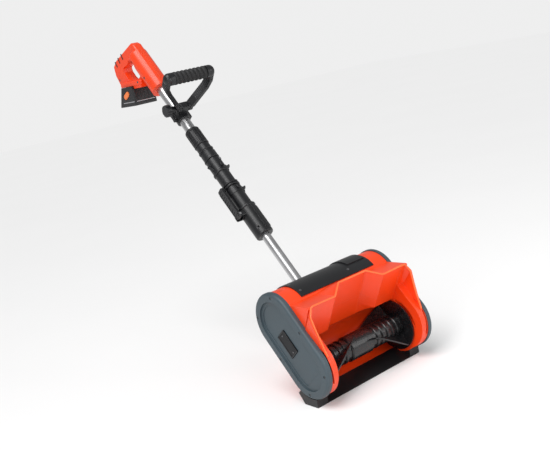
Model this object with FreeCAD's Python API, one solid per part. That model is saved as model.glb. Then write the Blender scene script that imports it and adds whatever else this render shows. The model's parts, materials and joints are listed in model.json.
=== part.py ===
"""Cordless snow shovel: a powered auger head on a telescoping pole, a loop handle and a rear handle.

Millimetres, +Z up. The object stands on the flat underside of its scraper base, and the origin is
the middle of that flat face. The auger lies along X, the mouth of the head faces -Y, and the pole
rises towards +Y.

Three frames are used. Head pieces are drawn as (x, forward, up), where "up" runs along the pole and
the zero point is the centre of the lower round of the side covers. Pole pieces are drawn about their
own axis, with lengths measured along the pole from that same level. Rear handle pieces are drawn as
(x, back, rise), level with the ground, from the point where the pole enters the handle.
"""
import FreeCAD, Part
import math
import os
from FreeCAD import Vector as V

# ---------------------------------------------------------------- driving dimensions
POLE_ANGLE = 50.0            # slope of the pole above the ground
HEAD_WIDTH = 350.0           # over the outer faces of the side covers
COVER_RADIUS = 72.5          # round ends of the side covers
COVER_CENTRES = 133.0        # distance between the two rounds of a side cover
COVER_DEPTH = 14.0           # thickness of a side cover along X
GROUND_DROP = 92.5           # from the lower cover round's centre down to the ground

AUGER_BACK = 22.0            # auger axis behind the lower cover round's centre
AUGER_RISE = 6.0             # auger axis above it, along the pole
AUGER_RADIUS = 64.0          # over the end discs and flights
AUGER_CLEARANCE = 4.0        # between the auger and its trough
AUGER_HALF = 137.0           # half length over the end discs
AUGER_END_GAP = 3.0          # end disc to side wall
HUB_RADIUS = 26.0
HUB_RIB = 3.5                # how far the hub's rings stand out
FLIGHT_THICKNESS = 4.0
FLIGHT_TWIST = 65.0          # degrees each flight turns from its end disc to its inner end
SHAFT_RADIUS = 6.0

WALL = 3.5                   # moulded wall of the orange housing
FIT = 0.25                   # seat between pieces that do not move on each other
RUN = 0.05                   # radial running clearance of a shaft in its bearing
MOVE = 0.4                   # gap between pieces that move past each other

LOWER_TUBE_RADIUS = 12.5
UPPER_TUBE_RADIUS = 15.0
TUBE_WALL = 1.5
POLE_BACK = 62.0             # pole axis behind the cover round centres
LOWER_TUBE_START = 80.0      # lengths along the pole
LOWER_TUBE_END = 640.0
COUPLER_START = 381.0
COUPLER_BODY_START = 478.0
COUPLER_COLLAR_START = 606.0
COUPLER_END = 758.0
UPPER_TUBE_START = 500.0
HANDLE_START = 925.0
UPPER_TUBE_END = 968.0
AUX_CENTRE = 820.0           # middle of the loop handle's clamp along the pole

AUX_REACH = 135.0            # pole axis to the axis of the cross grip
AUX_GRIP_HALF = 52.0         # half length of the cross grip's rubber
AUX_HALF_WIDTH = 62.0        # pole axis plane to the side legs of the loop
GRIP_RADIUS = 17.5

BARREL_RADIUS = 28.5
BARREL_LENGTH = 150.0
GRIP_HALF = 15.0             # half thickness of the rear handle's loop
HANDLE_WALL = 3.0
PACK_WIDTH = 72.0            # battery pack over its sides
PACK_LENGTH = 101.0          # at its underside
PACK_TOP_LENGTH = 71.0       # at its top, where the back leans in
PACK_HEIGHT = 57.0

os.makedirs("parts", exist_ok=True)

# ---------------------------------------------------------------- frames
HEAD_TURN = FreeCAD.Rotation(V(1, 0, 0), POLE_ANGLE - 90.0)
REST_MIDDLE = 11.0           # middle of the flat rest, behind the cover centre
HEAD = FreeCAD.Placement(V(0, -REST_MIDDLE, GROUND_DROP), HEAD_TURN)
POLE = HEAD.multiply(FreeCAD.Placement(V(0, POLE_BACK, 0), FreeCAD.Rotation()))
HANDLE = FreeCAD.Placement(POLE.multVec(V(0, 0, HANDLE_START)), FreeCAD.Rotation())
SLOPE = math.radians(POLE_ANGLE)


def head_point(x, forward, up):
    return V(x, -forward, up)


def save(name, shape, frame):
    """Write one node, moved from the frame that it was drawn in."""
    placed = shape.copy()
    placed.Placement = frame.multiply(placed.Placement)
    solids = placed.Solids
    out = solids[0] if len(solids) == 1 else Part.makeCompound(solids)
    out.exportStep("parts/" + name + ".step")


# ---------------------------------------------------------------- shape helpers
def rod(radius, start, end):
    """A round bar between two points."""
    axis = end - start
    return Part.makeCylinder(radius, axis.Length, start, axis)


def pipe(outer, inner, start, end):
    return rod(outer, start, end).cut(rod(inner, start, end))


def box(x0, x1, y0, y1, z0, z1):
    corner = V(min(x0, x1), min(y0, y1), min(z0, z1))
    return Part.makeBox(abs(x1 - x0), abs(y1 - y0), abs(z1 - z0), corner)


def head_box(x0, x1, forward0, forward1, up0, up1):
    return box(x0, x1, -forward1, -forward0, up0, up1)


def prism(points, push):
    """Extrude a closed outline of points along a vector."""
    face = Part.Face(Part.makePolygon(points + [points[0]]))
    return face.extrude(push)


def head_prism(outline, x0, x1):
    """Extrude an outline of (forward, up) points from x0 to x1."""
    return prism([head_point(x0, f, u) for f, u in outline], V(x1 - x0, 0, 0))


def stadium(radius, x0, x1, lower=(0.0, 0.0), length=COVER_CENTRES):
    """The side covers' outline, two rounds joined by straights, as a solid along X."""
    f, u = lower
    bottom = rod(radius, head_point(x0, f, u), head_point(x1, f, u))
    top = rod(radius, head_point(x0, f, u + length), head_point(x1, f, u + length))
    middle = head_box(x0, x1, f - radius, f + radius, u, u + length)
    return bottom.fuse([top, middle]).removeSplitter()


def screw(head_centre, direction, head_radius=3.6, length=12.0):
    """A cross-head screw whose head's outer face is at head_centre; direction points inward."""
    inward = V(direction.x, direction.y, direction.z).normalize()
    head = rod(head_radius, head_centre, head_centre + inward * 2.4)
    shank = rod(head_radius * 0.45, head_centre + inward * 2.0, head_centre + inward * length)
    side = inward.cross(V(0.3, 0.7, 0.2)).normalize()
    other = inward.cross(side).normalize()
    slots = []
    for across, along in ((side, other), (other, side)):
        half = head_radius * 0.62
        start = head_centre - across * half - along * 0.45 - inward * 0.5
        face = Part.makePolygon([start, start + across * 2 * half,
                                 start + across * 2 * half + along * 0.9,
                                 start + along * 0.9, start])
        slots.append(Part.Face(face).extrude(inward * 1.5))
    return head.fuse(shank).cut(slots[0].fuse(slots[1]))


def screw_hole(head_centre, direction, head_radius=3.6, length=12.0):
    inward = V(direction.x, direction.y, direction.z).normalize()
    head = rod(head_radius + FIT, head_centre - inward * 3.0, head_centre + inward * 2.4)
    shank = rod(head_radius * 0.45 + FIT * 0.4, head_centre, head_centre + inward * length)
    return head.fuse(shank)


# ---------------------------------------------------------------- head: shared places
AUGER_F = -AUGER_BACK
AUGER_U = AUGER_RISE
TROUGH = AUGER_RADIUS + AUGER_CLEARANCE
INNER_HALF = AUGER_HALF + AUGER_END_GAP          # side walls of the trough
BODY_HALF = HEAD_WIDTH / 2 - COVER_DEPTH         # the orange housing's half width
BODY_RADIUS = COVER_RADIUS - 2.5
POLE_F = -POLE_BACK
MOTOR_F = 2.0
MOTOR_U = 142.0
MOTOR_RADIUS = 27.0
DRIVEN_TEETH = 60
DRIVE_TEETH = 15


def row_to_head(back, rise):
    """A point given level with the ground, back and up from the cover centre, as (forward, up)."""
    forward = -back * math.sin(SLOPE) + rise * math.cos(SLOPE)
    up = back * math.cos(SLOPE) + rise * math.sin(SLOPE)
    return forward, up


# the scraper base: a ramp from the ground up to the trough
TIP_BACK = -12.0             # scraper edge, ahead of the lower cover round's centre
REST_BACK = 2 * REST_MIDDLE - TIP_BACK
LIP_EDGE = 1.2               # thickness of the scraper's edge
BASE_HALF = HEAD_WIDTH / 2 - 3.0


def head_to_row(forward, up):
    back = -forward * math.sin(SLOPE) + up * math.cos(SLOPE)
    rise = forward * math.cos(SLOPE) + up * math.sin(SLOPE)
    return back, rise


AUGER_ROW = head_to_row(AUGER_F, AUGER_U)


def ramp_heel(radius):
    """Where a line from the scraper's edge touches a round about the auger's axis."""
    back = AUGER_ROW[0] - TIP_BACK
    rise = AUGER_ROW[1] + GROUND_DROP - LIP_EDGE
    reach = math.hypot(back, rise)
    line = math.sqrt(reach * reach - radius * radius)
    angle = math.atan2(rise, back) - math.asin(radius / reach)
    return TIP_BACK + line * math.cos(angle), LIP_EDGE - GROUND_DROP + line * math.sin(angle)


HEEL = ramp_heel(TROUGH)

# the snow hood: its lip stands highest in the middle and steps down to each side
LIP_MIDDLE = (117.0, 117.0)
LIP_SIDE = (122.0, 89.0)
LIP_THICKNESS = 3.5
CHANNEL_HALF = 44.0          # half width of the high middle of the lip
STEP_HALF = 78.0             # where the lip has come down to its side height
WING_TOP = (151.0, 124.0, 92.0)      # (x, forward, up) of the wing's upper front corner
WING_CORNER = (164.0, 114.0, 73.0)   # the flared corner below it
WING_EDGE = [(161.0, 99.0, 46.0), (158.0, 86.0, 20.0), (155.0, 71.0, -14.0)]
WING_WALL = 4.0
HOOD_SEAM = 50.0             # the hood is a separate moulding in front of this plane
HOOD_ROOT = (61.0, 141.0)    # where the hood's upper face leaves the housing
FLARE_DEPTH = 20.0           # the side walls flare outward at the front of the trough
FLARE_RISE = 30.0
FLARE_TOP = 76.0


def lip_outline(lip):
    """The open mouth's outline for one height of the lip, as (forward, up)."""
    rear = (-30.0, 62.0)
    bend = (24.0, lip[1] - 34.0)
    beyond = (lip[0] + 60.0, lip[1] + 40.0)
    low_front = (lip[0] + 60.0, -160.0)
    tip = row_to_head(TIP_BACK, LIP_EDGE - GROUND_DROP)
    heel = row_to_head(*HEEL)
    low_rear = (-20.0, -10.0)
    return [rear, bend, lip, beyond, low_front, tip, heel, low_rear]


def ruled(outline_a, xa, outline_b, xb):
    """A solid between two outlines with as many points each, at two places along X."""
    a = Part.makePolygon([head_point(xa, f, u) for f, u in outline_a + outline_a[:1]])
    b = Part.makePolygon([head_point(xb, f, u) for f, u in outline_b + outline_b[:1]])
    return Part.makeLoft([a, b], True, True)


def mouth_void():
    """The open space in front of and above the auger."""
    middle = lip_outline(LIP_MIDDLE)
    side = lip_outline(LIP_SIDE)
    parts = [head_prism(middle, -CHANNEL_HALF, CHANNEL_HALF)]
    parts.append(ruled(middle, CHANNEL_HALF, side, STEP_HALF))
    parts.append(ruled(middle, -CHANNEL_HALF, side, -STEP_HALF))
    parts.append(head_prism(side, STEP_HALF, INNER_HALF))
    parts.append(head_prism(side, -INNER_HALF, -STEP_HALF))
    trough = rod(TROUGH, head_point(-INNER_HALF, AUGER_F, AUGER_U), head_point(INNER_HALF, AUGER_F, AUGER_U))
    parts.append(trough)
    front_only = head_box(-HEAD_WIDTH, HEAD_WIDTH, 30, 200, -200, FLARE_TOP)
    for sign in (-1, 1):
        start = head_point(sign * INNER_HALF, AUGER_F, AUGER_U)
        flare = Part.makeCone(TROUGH, TROUGH + FLARE_RISE, FLARE_DEPTH, start, V(sign, 0, 0))
        parts.append(flare.common(front_only))
    return parts[0].fuse(parts[1:])


def hood_outline(lip):
    """The hood's solid for one height of the lip: upper face, lip and the face under it."""
    top = (lip[0], lip[1] + LIP_THICKNESS)
    return [(20.0, 165.0), (48.0, 158.0), HOOD_ROOT, top, lip, (20.0, lip[1] - 40.0)]


def hood_block():
    middle = hood_outline(LIP_MIDDLE)
    side = hood_outline(LIP_SIDE)
    parts = [head_prism(middle, -CHANNEL_HALF, CHANNEL_HALF)]
    parts.append(ruled(middle, CHANNEL_HALF, side, STEP_HALF))
    parts.append(ruled(middle, -CHANNEL_HALF, side, -STEP_HALF))
    parts.append(head_prism(side, STEP_HALF, BODY_HALF))
    parts.append(head_prism(side, -BODY_HALF, -STEP_HALF))
    return parts


def faceted_plate(points, push):
    """A plate whose outline bends out of plane: a fan of flat triangles, carried along push."""
    near = points
    far = [p + push for p in points]
    faces = []

    def triangle(a, b, c):
        faces.append(Part.Face(Part.makePolygon([a, b, c, a])))

    for i in range(1, len(points) - 1):
        triangle(near[0], near[i], near[i + 1])
        triangle(far[0], far[i + 1], far[i])
    for i in range(len(points)):
        k = (i + 1) % len(points)
        triangle(near[i], far[i], far[k])
        triangle(near[i], far[k], near[k])
    return Part.Solid(Part.makeShell(faces))


def wing(sign):
    """A side wing: the side wall carried forward to the lip's end, its corner flared outward."""
    root_x = BODY_HALF - WING_WALL
    outline = [(root_x, 45.0, 60.0), (root_x, 45.0, 112.0), WING_TOP, WING_CORNER]
    outline += WING_EDGE + [(root_x, 45.0, -45.0)]
    points = [head_point(sign * x, f, u) for x, f, u in outline]
    return faceted_plate(points, V(sign * WING_WALL, 0, 0))


def housing_solid():
    """Every outer surface of the orange body, before the hollows."""
    body = stadium(BODY_RADIUS, -BODY_HALF, BODY_HALF)
    bulge_radius = TROUGH + WALL
    bulge_half = INNER_HALF + WALL
    bulge = rod(bulge_radius, head_point(-bulge_half, AUGER_F, AUGER_U),
                head_point(bulge_half, AUGER_F, AUGER_U))
    back = [(AUGER_F, AUGER_U + bulge_radius), (AUGER_F - bulge_radius, AUGER_U),
            (-BODY_RADIUS - 6, 100), (-BODY_RADIUS + 12, 158), (0, 150)]
    hump = head_prism(back, -bulge_half, bulge_half)
    socket = rod(SOCKET_RADIUS, head_point(0, POLE_F, LOWER_TUBE_START + 14),
                 head_point(0, POLE_F, SOCKET_TOP))
    return body.fuse([bulge, hump, socket] + hood_block() + [wing(1), wing(-1)])


SOCKET_RADIUS = 21.0
SOCKET_TOP = 208.0


def motor_chamber():
    """The hollow over the trough that holds the motor."""
    inner = BODY_RADIUS - WALL
    top = stadium(inner, -BODY_HALF + WALL, INNER_HALF)
    under = [(-BODY_RADIUS - 20, 74), (-36, 74), (24, LIP_SIDE[1] + 12),
             (HOOD_SEAM - 8, LIP_MIDDLE[1] - 4),
             (HOOD_SEAM - 8, 240), (-BODY_RADIUS - 20, 240)]
    keep = head_prism(under, -BODY_HALF, BODY_HALF)
    above = head_prism([(-200, 78), (-40, 78), (24, 116), (200, 116), (200, 300), (-200, 300)],
                       -BODY_HALF, BODY_HALF)
    return top.common(keep).common(above)


def capsule(radius_a, a, radius_b, b, x0, x1):
    """A solid along X whose outline wraps two rounds of different radius, each at (forward, up)."""
    dist = math.hypot(b[0] - a[0], b[1] - a[1])
    along = math.atan2(b[1] - a[1], b[0] - a[0])
    lean = math.acos((radius_a - radius_b) / dist)
    corners = []
    for centre, radius in ((a, radius_a), (b, radius_b)):
        for side in (1, -1):
            angle = along + side * lean
            corners.append((centre[0] + radius * math.cos(angle), centre[1] + radius * math.sin(angle)))
    middle = head_prism([corners[0], corners[2], corners[3], corners[1]], x0, x1)
    ends = [rod(radius_a, head_point(x0, *a), head_point(x1, *a)),
            rod(radius_b, head_point(x0, *b), head_point(x1, *b))]
    return middle.fuse(ends).removeSplitter()


def drive_chamber(sign):
    """The hollow in each end of the housing, under the side cover."""
    return capsule(46.0, (AUGER_F, AUGER_U), 40.0, (MOTOR_F, MOTOR_U),
                   sign * (INNER_HALF + WALL), sign * (BODY_HALF + 1))


def tube_bore():
    return rod(LOWER_TUBE_RADIUS + FIT, head_point(0, POLE_F, LOWER_TUBE_START),
               head_point(0, POLE_F, 300))


def ramp_cut():
    """The part of the trough's wall that the scraper base replaces."""
    heel_f, heel_u = row_to_head(*HEEL)
    out_f = heel_f + (heel_f - AUGER_F) * 0.2
    out_u = heel_u + (heel_u - AUGER_U) * 0.2
    outline = [row_to_head(-90.0, LIP_EDGE - GROUND_DROP - 30.0),
               row_to_head(TIP_BACK, LIP_EDGE - GROUND_DROP),
               (heel_f, heel_u), (out_f, out_u), row_to_head(60.0, -130.0), row_to_head(-90.0, -130.0)]
    return head_prism(outline, -BODY_HALF - 1, BODY_HALF + 1)


BEARING_RADIUS = 13.0
BEARING_WIDTH = 8.0
BEARING_X = INNER_HALF + WALL + 1.0


def build_housing():
    body = housing_solid().cut(mouth_void())
    hollows = [motor_chamber(), drive_chamber(1), drive_chamber(-1), tube_bore(), ramp_cut()]
    body = body.cut(hollows[0].fuse(hollows[1:]))
    for sign in (-1, 1):
        inner = head_point(sign * (INNER_HALF + WALL), AUGER_F, AUGER_U)
        outer = head_point(sign * (BEARING_X + BEARING_WIDTH), AUGER_F, AUGER_U)
        seat = head_point(sign * BEARING_X, AUGER_F, AUGER_U)
        body = body.fuse(rod(BEARING_RADIUS + 4.0, inner, outer))
        body = body.cut(rod(BEARING_RADIUS + 0.02, seat, head_point(sign * (BODY_HALF + 5), AUGER_F,
                                                                    AUGER_U)))
        body = body.cut(rod(SHAFT_RADIUS + 1.0, head_point(0, AUGER_F, AUGER_U), seat))
    motor_hole = rod(MOTOR_PILOT + FIT, head_point(INNER_HALF - 1, MOTOR_F, MOTOR_U),
                     head_point(INNER_HALF + WALL + 1, MOTOR_F, MOTOR_U))
    for k in range(4):
        turn = math.pi / 4 + k * math.pi / 2
        f = MOTOR_F + MOTOR_SCREW_RING * math.cos(turn)
        u = MOTOR_U + MOTOR_SCREW_RING * math.sin(turn)
        motor_hole = motor_hole.fuse(rod(1.4, head_point(INNER_HALF - 1, f, u),
                                         head_point(INNER_HALF + 9, f, u)))
    for sign in (-1, 1):
        for f, u in cover_screw_places():
            motor_hole = motor_hole.fuse(rod(1.7, head_point(sign * (BODY_HALF - 9), f, u),
                                             head_point(sign * (BODY_HALF + 1), f, u)))
    return body.cut(motor_hole)


MOTOR_PILOT = 9.0
COVER_OUT = HEAD_WIDTH / 2
COVER_RING = 62.0            # radius of the ring of cover screws
PLATE_SIZE = (62.0, 36.0, 1.4)

# ---------------------------------------------------------------- head: housing, covers, base
def make_housing():
    body = build_housing().cut(screw_holes_top())
    front = head_box(-300, 300, HOOD_SEAM, 300, -300, 300)
    save("front_hood", body.common(front), HEAD)
    save("auger_housing", body.cut(front), HEAD)
    return body


def edges_at(shape, x):
    """Every edge that lies wholly in one plane across X."""
    found = []
    for edge in shape.Edges:
        if all(abs(vertex.Point.x - x) < 1e-6 for vertex in edge.Vertexes):
            found.append(edge)
    return found


def cover_screw_places():
    places = [(COVER_RING, COVER_CENTRES / 2), (-COVER_RING, COVER_CENTRES / 2)]
    for angle, up in ((-45, 0), (-135, 0), (45, COVER_CENTRES), (135, COVER_CENTRES)):
        turn = math.radians(angle)
        places.append((COVER_RING * math.cos(turn), up + COVER_RING * math.sin(turn)))
    return places


def side_cover(sign):
    """A moulded end cover: rounded rim, recessed panel, hollow behind with a boss for each screw."""
    outer = stadium(COVER_RADIUS, sign * BODY_HALF, sign * COVER_OUT)
    outer = outer.makeFillet(7.0, edges_at(outer, sign * COVER_OUT))
    floor_x = COVER_OUT - RECESS
    recess = stadium(52.0, sign * floor_x, sign * (COVER_OUT + 1))
    panel = stadium(44.0, sign * (floor_x - 1.5), sign * (floor_x + 1))
    panel = panel.cut(head_box(sign * (floor_x - 3), sign * (floor_x + 3), -60, 60, -60, -26))
    hollow = stadium(COVER_RADIUS - 3.0, sign * (BODY_HALF - 1), sign * (floor_x - 1.5 - 2.5))
    rim = stadium(COVER_RADIUS - 7.5, sign * (BODY_HALF - 1), sign * (floor_x - 1.5 - 2.5))
    bosses = []
    for f, u in cover_screw_places():
        boss = rod(6.0, head_point(sign * BODY_HALF, f, u), head_point(sign * (floor_x - 3), f, u))
        bosses.append(boss)
    shell = outer.cut(hollow.common(rim).fuse([recess, panel]))
    shell = shell.fuse([b.common(outer) for b in bosses])
    for f, u in cover_screw_places():
        shell = shell.cut(screw_hole(head_point(sign * (COVER_OUT - 1.4), f, u), V(-sign, 0, 0),
                                     3.4, 26.0))
    return shell


def cover_screws(sign):
    made = []
    for f, u in cover_screw_places():
        made.append(screw(head_point(sign * (COVER_OUT - 1.4), f, u), V(-sign, 0, 0), 3.4, 19.0))
    return Part.makeCompound(made)


def name_plate():
    """A blank plate seated on the left cover's inner panel."""
    back = COVER_OUT - RECESS - 1.5
    long_side, short_side, thick = PLATE_SIZE
    plate = head_box(-back, -(back + thick), -8 - short_side / 2, -8 + short_side / 2,
                     76 - long_side / 2, 76 + long_side / 2)
    corners = [e for e in plate.Edges if abs(e.Vertexes[0].Point.x - e.Vertexes[1].Point.x) > thick / 2]
    return plate.makeFillet(3.0, corners)


def make_covers(body):
    save("left_cover", side_cover(-1).cut(body), HEAD)
    save("right_cover", side_cover(1).cut(body), HEAD)
    save("left_cover_screws", cover_screws(-1), HEAD)
    save("right_cover_screws", cover_screws(1), HEAD)
    save("name_plate", name_plate(), HEAD)


RECESS = 4.0
TOP_COVER_HALF = 118.0
TOP_COVER_THICKNESS = 3.0
TOP_RAISE = 6.0
TOP_RAISE_FROM = 55.0
TOP_SCREW_X = (-108.0, 46.0)
TOP_SCREW_ANGLE = 62.0


def arc_shell(inner, outer, x0, x1, from_angle, to_angle):
    """A slice of a round shell about the upper round of the side covers, angles from the front."""
    ring = pipe(outer, inner, head_point(x0, 0, COVER_CENTRES), head_point(x1, 0, COVER_CENTRES))
    far = outer * 3
    points = [(0.0, COVER_CENTRES)]
    steps = 8
    for i in range(steps + 1):
        turn = math.radians(from_angle + (to_angle - from_angle) * i / steps)
        points.append((far * math.cos(turn), COVER_CENTRES + far * math.sin(turn)))
    return ring.common(head_prism(points, x0 - 1, x1 + 1))


def top_cover():
    """The black cover over the top of the head, its right end raised over the motor's end."""
    low = arc_shell(BODY_RADIUS + FIT, BODY_RADIUS + TOP_COVER_THICKNESS,
                    -TOP_COVER_HALF, TOP_COVER_HALF, 6.0, 128.0)
    raised = arc_shell(BODY_RADIUS + FIT, BODY_RADIUS + TOP_RAISE,
                       TOP_RAISE_FROM, TOP_COVER_HALF - 6, 30.0, 122.0)
    cover = low.fuse(raised)
    for place, inward in top_screws_at():
        cover = cover.cut(screw_hole(place, inward, 3.2, 16.0))
    return cover


def top_screws_at():
    found = []
    reach = BODY_RADIUS + TOP_COVER_THICKNESS
    for angle in (20.0, TOP_SCREW_ANGLE + 54.0):
        turn = math.radians(angle)
        for x in TOP_SCREW_X:
            place = head_point(x, reach * math.cos(turn), COVER_CENTRES + reach * math.sin(turn))
            found.append((place, head_point(0, -math.cos(turn), -math.sin(turn))))
    return found


def screw_holes_top():
    holes = [screw_hole(place, inward, 3.2, 16.0) for place, inward in top_screws_at()]
    return holes[0].fuse(holes[1:])


def make_top(body):
    save("top_cover", top_cover().cut(body), HEAD)
    made = [screw(place, inward, 3.2, 9.0) for place, inward in top_screws_at()]
    save("top_cover_screws", Part.makeCompound(made), HEAD)


def scraper_base():
    """The black skid under the head: a ramp up to the trough and a block under each side wall."""
    heel_back, heel_rise = HEEL
    outer = TROUGH + WALL
    turn = math.atan2(heel_rise - AUGER_ROW[1], heel_back - AUGER_ROW[0])
    under_back = AUGER_ROW[0] + outer * math.cos(turn)
    under_rise = AUGER_ROW[1] + outer * math.sin(turn)
    middle = [(TIP_BACK, -GROUND_DROP), (REST_BACK, -GROUND_DROP), (REST_BACK + 15, under_rise - 6),
              (under_back, under_rise), (heel_back, heel_rise), (TIP_BACK, LIP_EDGE - GROUND_DROP)]
    ramp = head_prism([row_to_head(*p) for p in middle], -INNER_HALF, INNER_HALF)
    side = [(TIP_BACK, -GROUND_DROP), (REST_BACK, -GROUND_DROP), (REST_BACK + 17, -67.0),
            (REST_BACK + 6, -58.0), (TIP_BACK, -60.0)]
    blocks = [head_prism([row_to_head(*p) for p in side], s * INNER_HALF,
                         s * BASE_HALF) for s in (-1, 1)]
    base = ramp.fuse(blocks)
    clear = [rod(COVER_RADIUS + FIT, head_point(-400, 0, 0), head_point(400, 0, 0)).common(
        head_box(s * (INNER_HALF - 0.01), s * 400, -400, 400, -400, 400)) for s in (-1, 1)]
    bulge = rod(outer + FIT, head_point(-INNER_HALF - WALL - FIT, AUGER_F, AUGER_U),
                head_point(INNER_HALF + WALL + FIT, AUGER_F, AUGER_U))
    behind = head_prism([row_to_head(*p) for p in [(under_back + 0.01, -200), (300, -200), (300, 0),
                                                   (under_back + 0.01, 0)]], -200, 200)
    base = base.cut(clear[0].fuse(clear[1]))
    base = base.cut(bulge.common(behind))
    return base


def make_base(body):
    base = scraper_base().cut(body)
    f, u = row_to_head(REST_MIDDLE + 12, -GROUND_DROP + 1.5)
    upward = head_point(0, math.cos(SLOPE), math.sin(SLOPE))
    places = [head_point(x, f, u) for x in (-120.0, -40.0, 40.0, 120.0)]
    for place in places:
        base = base.cut(screw_hole(place, upward, 3.6, 9.0))
    save("scraper_base", base, HEAD)
    save("scraper_screws", Part.makeCompound([screw(p, upward, 3.6, 8.0) for p in places]), HEAD)


# ---------------------------------------------------------------- auger and drive
FLIGHT_STEPS = 8
FLIGHT_END = 26.0            # inner end of the flights, from the middle
FLIGHT_TAPER = 14.0
FLIGHT_START_LEFT = -58.0
FLIGHT_START_RIGHT = 92.0
RING_COUNT = 5
RING_PITCH = 17.0
DRUM_RADIUS = 31.0
DRUM_HALF = 36.0
PULLEY_X = BEARING_X + BEARING_WIDTH + 1.5
PULLEY_WIDTH = 10.0
BELT_WIDTH = 8.0
BELT_THICKNESS = 2.2
TOOTH_PITCH = 3.0
DRIVEN_RADIUS = DRIVEN_TEETH * TOOTH_PITCH / (2 * math.pi)
DRIVE_RADIUS = DRIVE_TEETH * TOOTH_PITCH / (2 * math.pi)


def about_auger(x, radius, angle):
    return head_point(x, AUGER_F + radius * math.cos(angle), AUGER_U + radius * math.sin(angle))


def flight(sign, start_angle):
    """One twisted flight, from an end disc in towards the middle, tapering as it goes."""
    start_x = AUGER_HALF - FLIGHT_THICKNESS
    wires = []
    for i in range(FLIGHT_STEPS + 1):
        share = i / FLIGHT_STEPS
        x = sign * (start_x + (FLIGHT_END - start_x) * share)
        angle = math.radians(start_angle + FLIGHT_TWIST * share)
        top = AUGER_RADIUS - 1.0 - FLIGHT_TAPER * share
        side = FLIGHT_THICKNESS / 2
        across = V(0, math.sin(angle), math.cos(angle)) * side
        low = about_auger(x, HUB_RADIUS - 3, angle)
        high = about_auger(x, top, angle)
        corners = [low - across, low + across, high + across, high - across]
        wires.append(Part.makePolygon(corners + corners[:1]))
    return Part.makeLoft(wires, True, True)


def auger_body():
    hub = rod(HUB_RADIUS, about_auger(-AUGER_HALF, 0, 0), about_auger(AUGER_HALF, 0, 0))
    parts = []
    for sign in (-1, 1):
        inner = about_auger(sign * (AUGER_HALF - FLIGHT_THICKNESS), 0, 0)
        parts.append(rod(AUGER_RADIUS, inner, about_auger(sign * AUGER_HALF, 0, 0)))
        for k in range(RING_COUNT):
            x = sign * (DRUM_HALF + RING_PITCH * (k + 0.7))
            far = x + sign * RING_PITCH / 2
            hub_ring = rod(HUB_RADIUS + HUB_RIB, about_auger(x, 0, 0), about_auger(far, 0, 0))
            rim = edges_at(hub_ring, x) + edges_at(hub_ring, far)
            parts.append(hub_ring.makeChamfer(2.0, rim))
        start = FLIGHT_START_LEFT if sign < 0 else FLIGHT_START_RIGHT
        parts.append(flight(sign, start))
        parts.append(flight(sign, start + 180.0))
    drum = rod(DRUM_RADIUS, about_auger(-DRUM_HALF, 0, 0), about_auger(DRUM_HALF, 0, 0))
    parts.append(drum.makeChamfer(3.0, edges_at(drum, -DRUM_HALF) + edges_at(drum, DRUM_HALF)))
    shape = hub.fuse(parts)
    return shape.cut(rod(SHAFT_RADIUS + 0.02, about_auger(-300, 0, 0), about_auger(300, 0, 0)))


def pulley(radius, bore, centre_f, centre_u):
    start = head_point(PULLEY_X, centre_f, centre_u)
    end = head_point(PULLEY_X + PULLEY_WIDTH, centre_f, centre_u)
    body = rod(radius, start, end)
    flange = rod(radius + 2.6, start, head_point(PULLEY_X + 0.9, centre_f, centre_u))
    far_flange = rod(radius + 2.6, head_point(PULLEY_X + PULLEY_WIDTH - 0.9, centre_f, centre_u), end)
    return body.fuse([flange, far_flange]).cut(rod(bore, start + V(-1, 0, 0), end + V(1, 0, 0)))


def make_drive():
    save("auger", auger_body(), HEAD)
    shaft = rod(SHAFT_RADIUS, about_auger(-BEARING_X - BEARING_WIDTH, 0, 0),
                about_auger(PULLEY_X + PULLEY_WIDTH, 0, 0))
    save("auger_shaft", shaft, HEAD)
    for sign, name in ((-1, "left_bearing"), (1, "right_bearing")):
        ring = pipe(BEARING_RADIUS, SHAFT_RADIUS + RUN, about_auger(sign * BEARING_X, 0, 0),
                    about_auger(sign * (BEARING_X + BEARING_WIDTH), 0, 0))
        save(name, ring, HEAD)
    driven = pulley(DRIVEN_RADIUS, SHAFT_RADIUS + 0.01, AUGER_F, AUGER_U)
    holes = []
    for k in range(5):
        turn = 2 * math.pi * k / 5
        holes.append(rod(4.5, about_auger(PULLEY_X - 1, 18.0, turn),
                         about_auger(PULLEY_X + PULLEY_WIDTH + 1, 18.0, turn)))
    save("driven_pulley", driven.cut(holes[0].fuse(holes[1:])), HEAD)
    save("drive_pulley", pulley(DRIVE_RADIUS, MOTOR_SHAFT + 0.01, MOTOR_F, MOTOR_U), HEAD)
    gap = 0.3
    inner = capsule(DRIVEN_RADIUS + gap, (AUGER_F, AUGER_U), DRIVE_RADIUS + gap, (MOTOR_F, MOTOR_U),
                    PULLEY_X + 1.0 + gap, PULLEY_X + 1.0 - gap + BELT_WIDTH)
    outer = capsule(DRIVEN_RADIUS + gap + BELT_THICKNESS, (AUGER_F, AUGER_U),
                    DRIVE_RADIUS + gap + BELT_THICKNESS, (MOTOR_F, MOTOR_U),
                    PULLEY_X + 1.0 + gap, PULLEY_X + 1.0 - gap + BELT_WIDTH)
    save("drive_belt", outer.cut(inner), HEAD)
    make_motor()


MOTOR_SHAFT = 4.0
MOTOR_LENGTH = 92.0
MOUNT_THICKNESS = 2.0
MOTOR_SCREW_RING = 18.0


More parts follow.
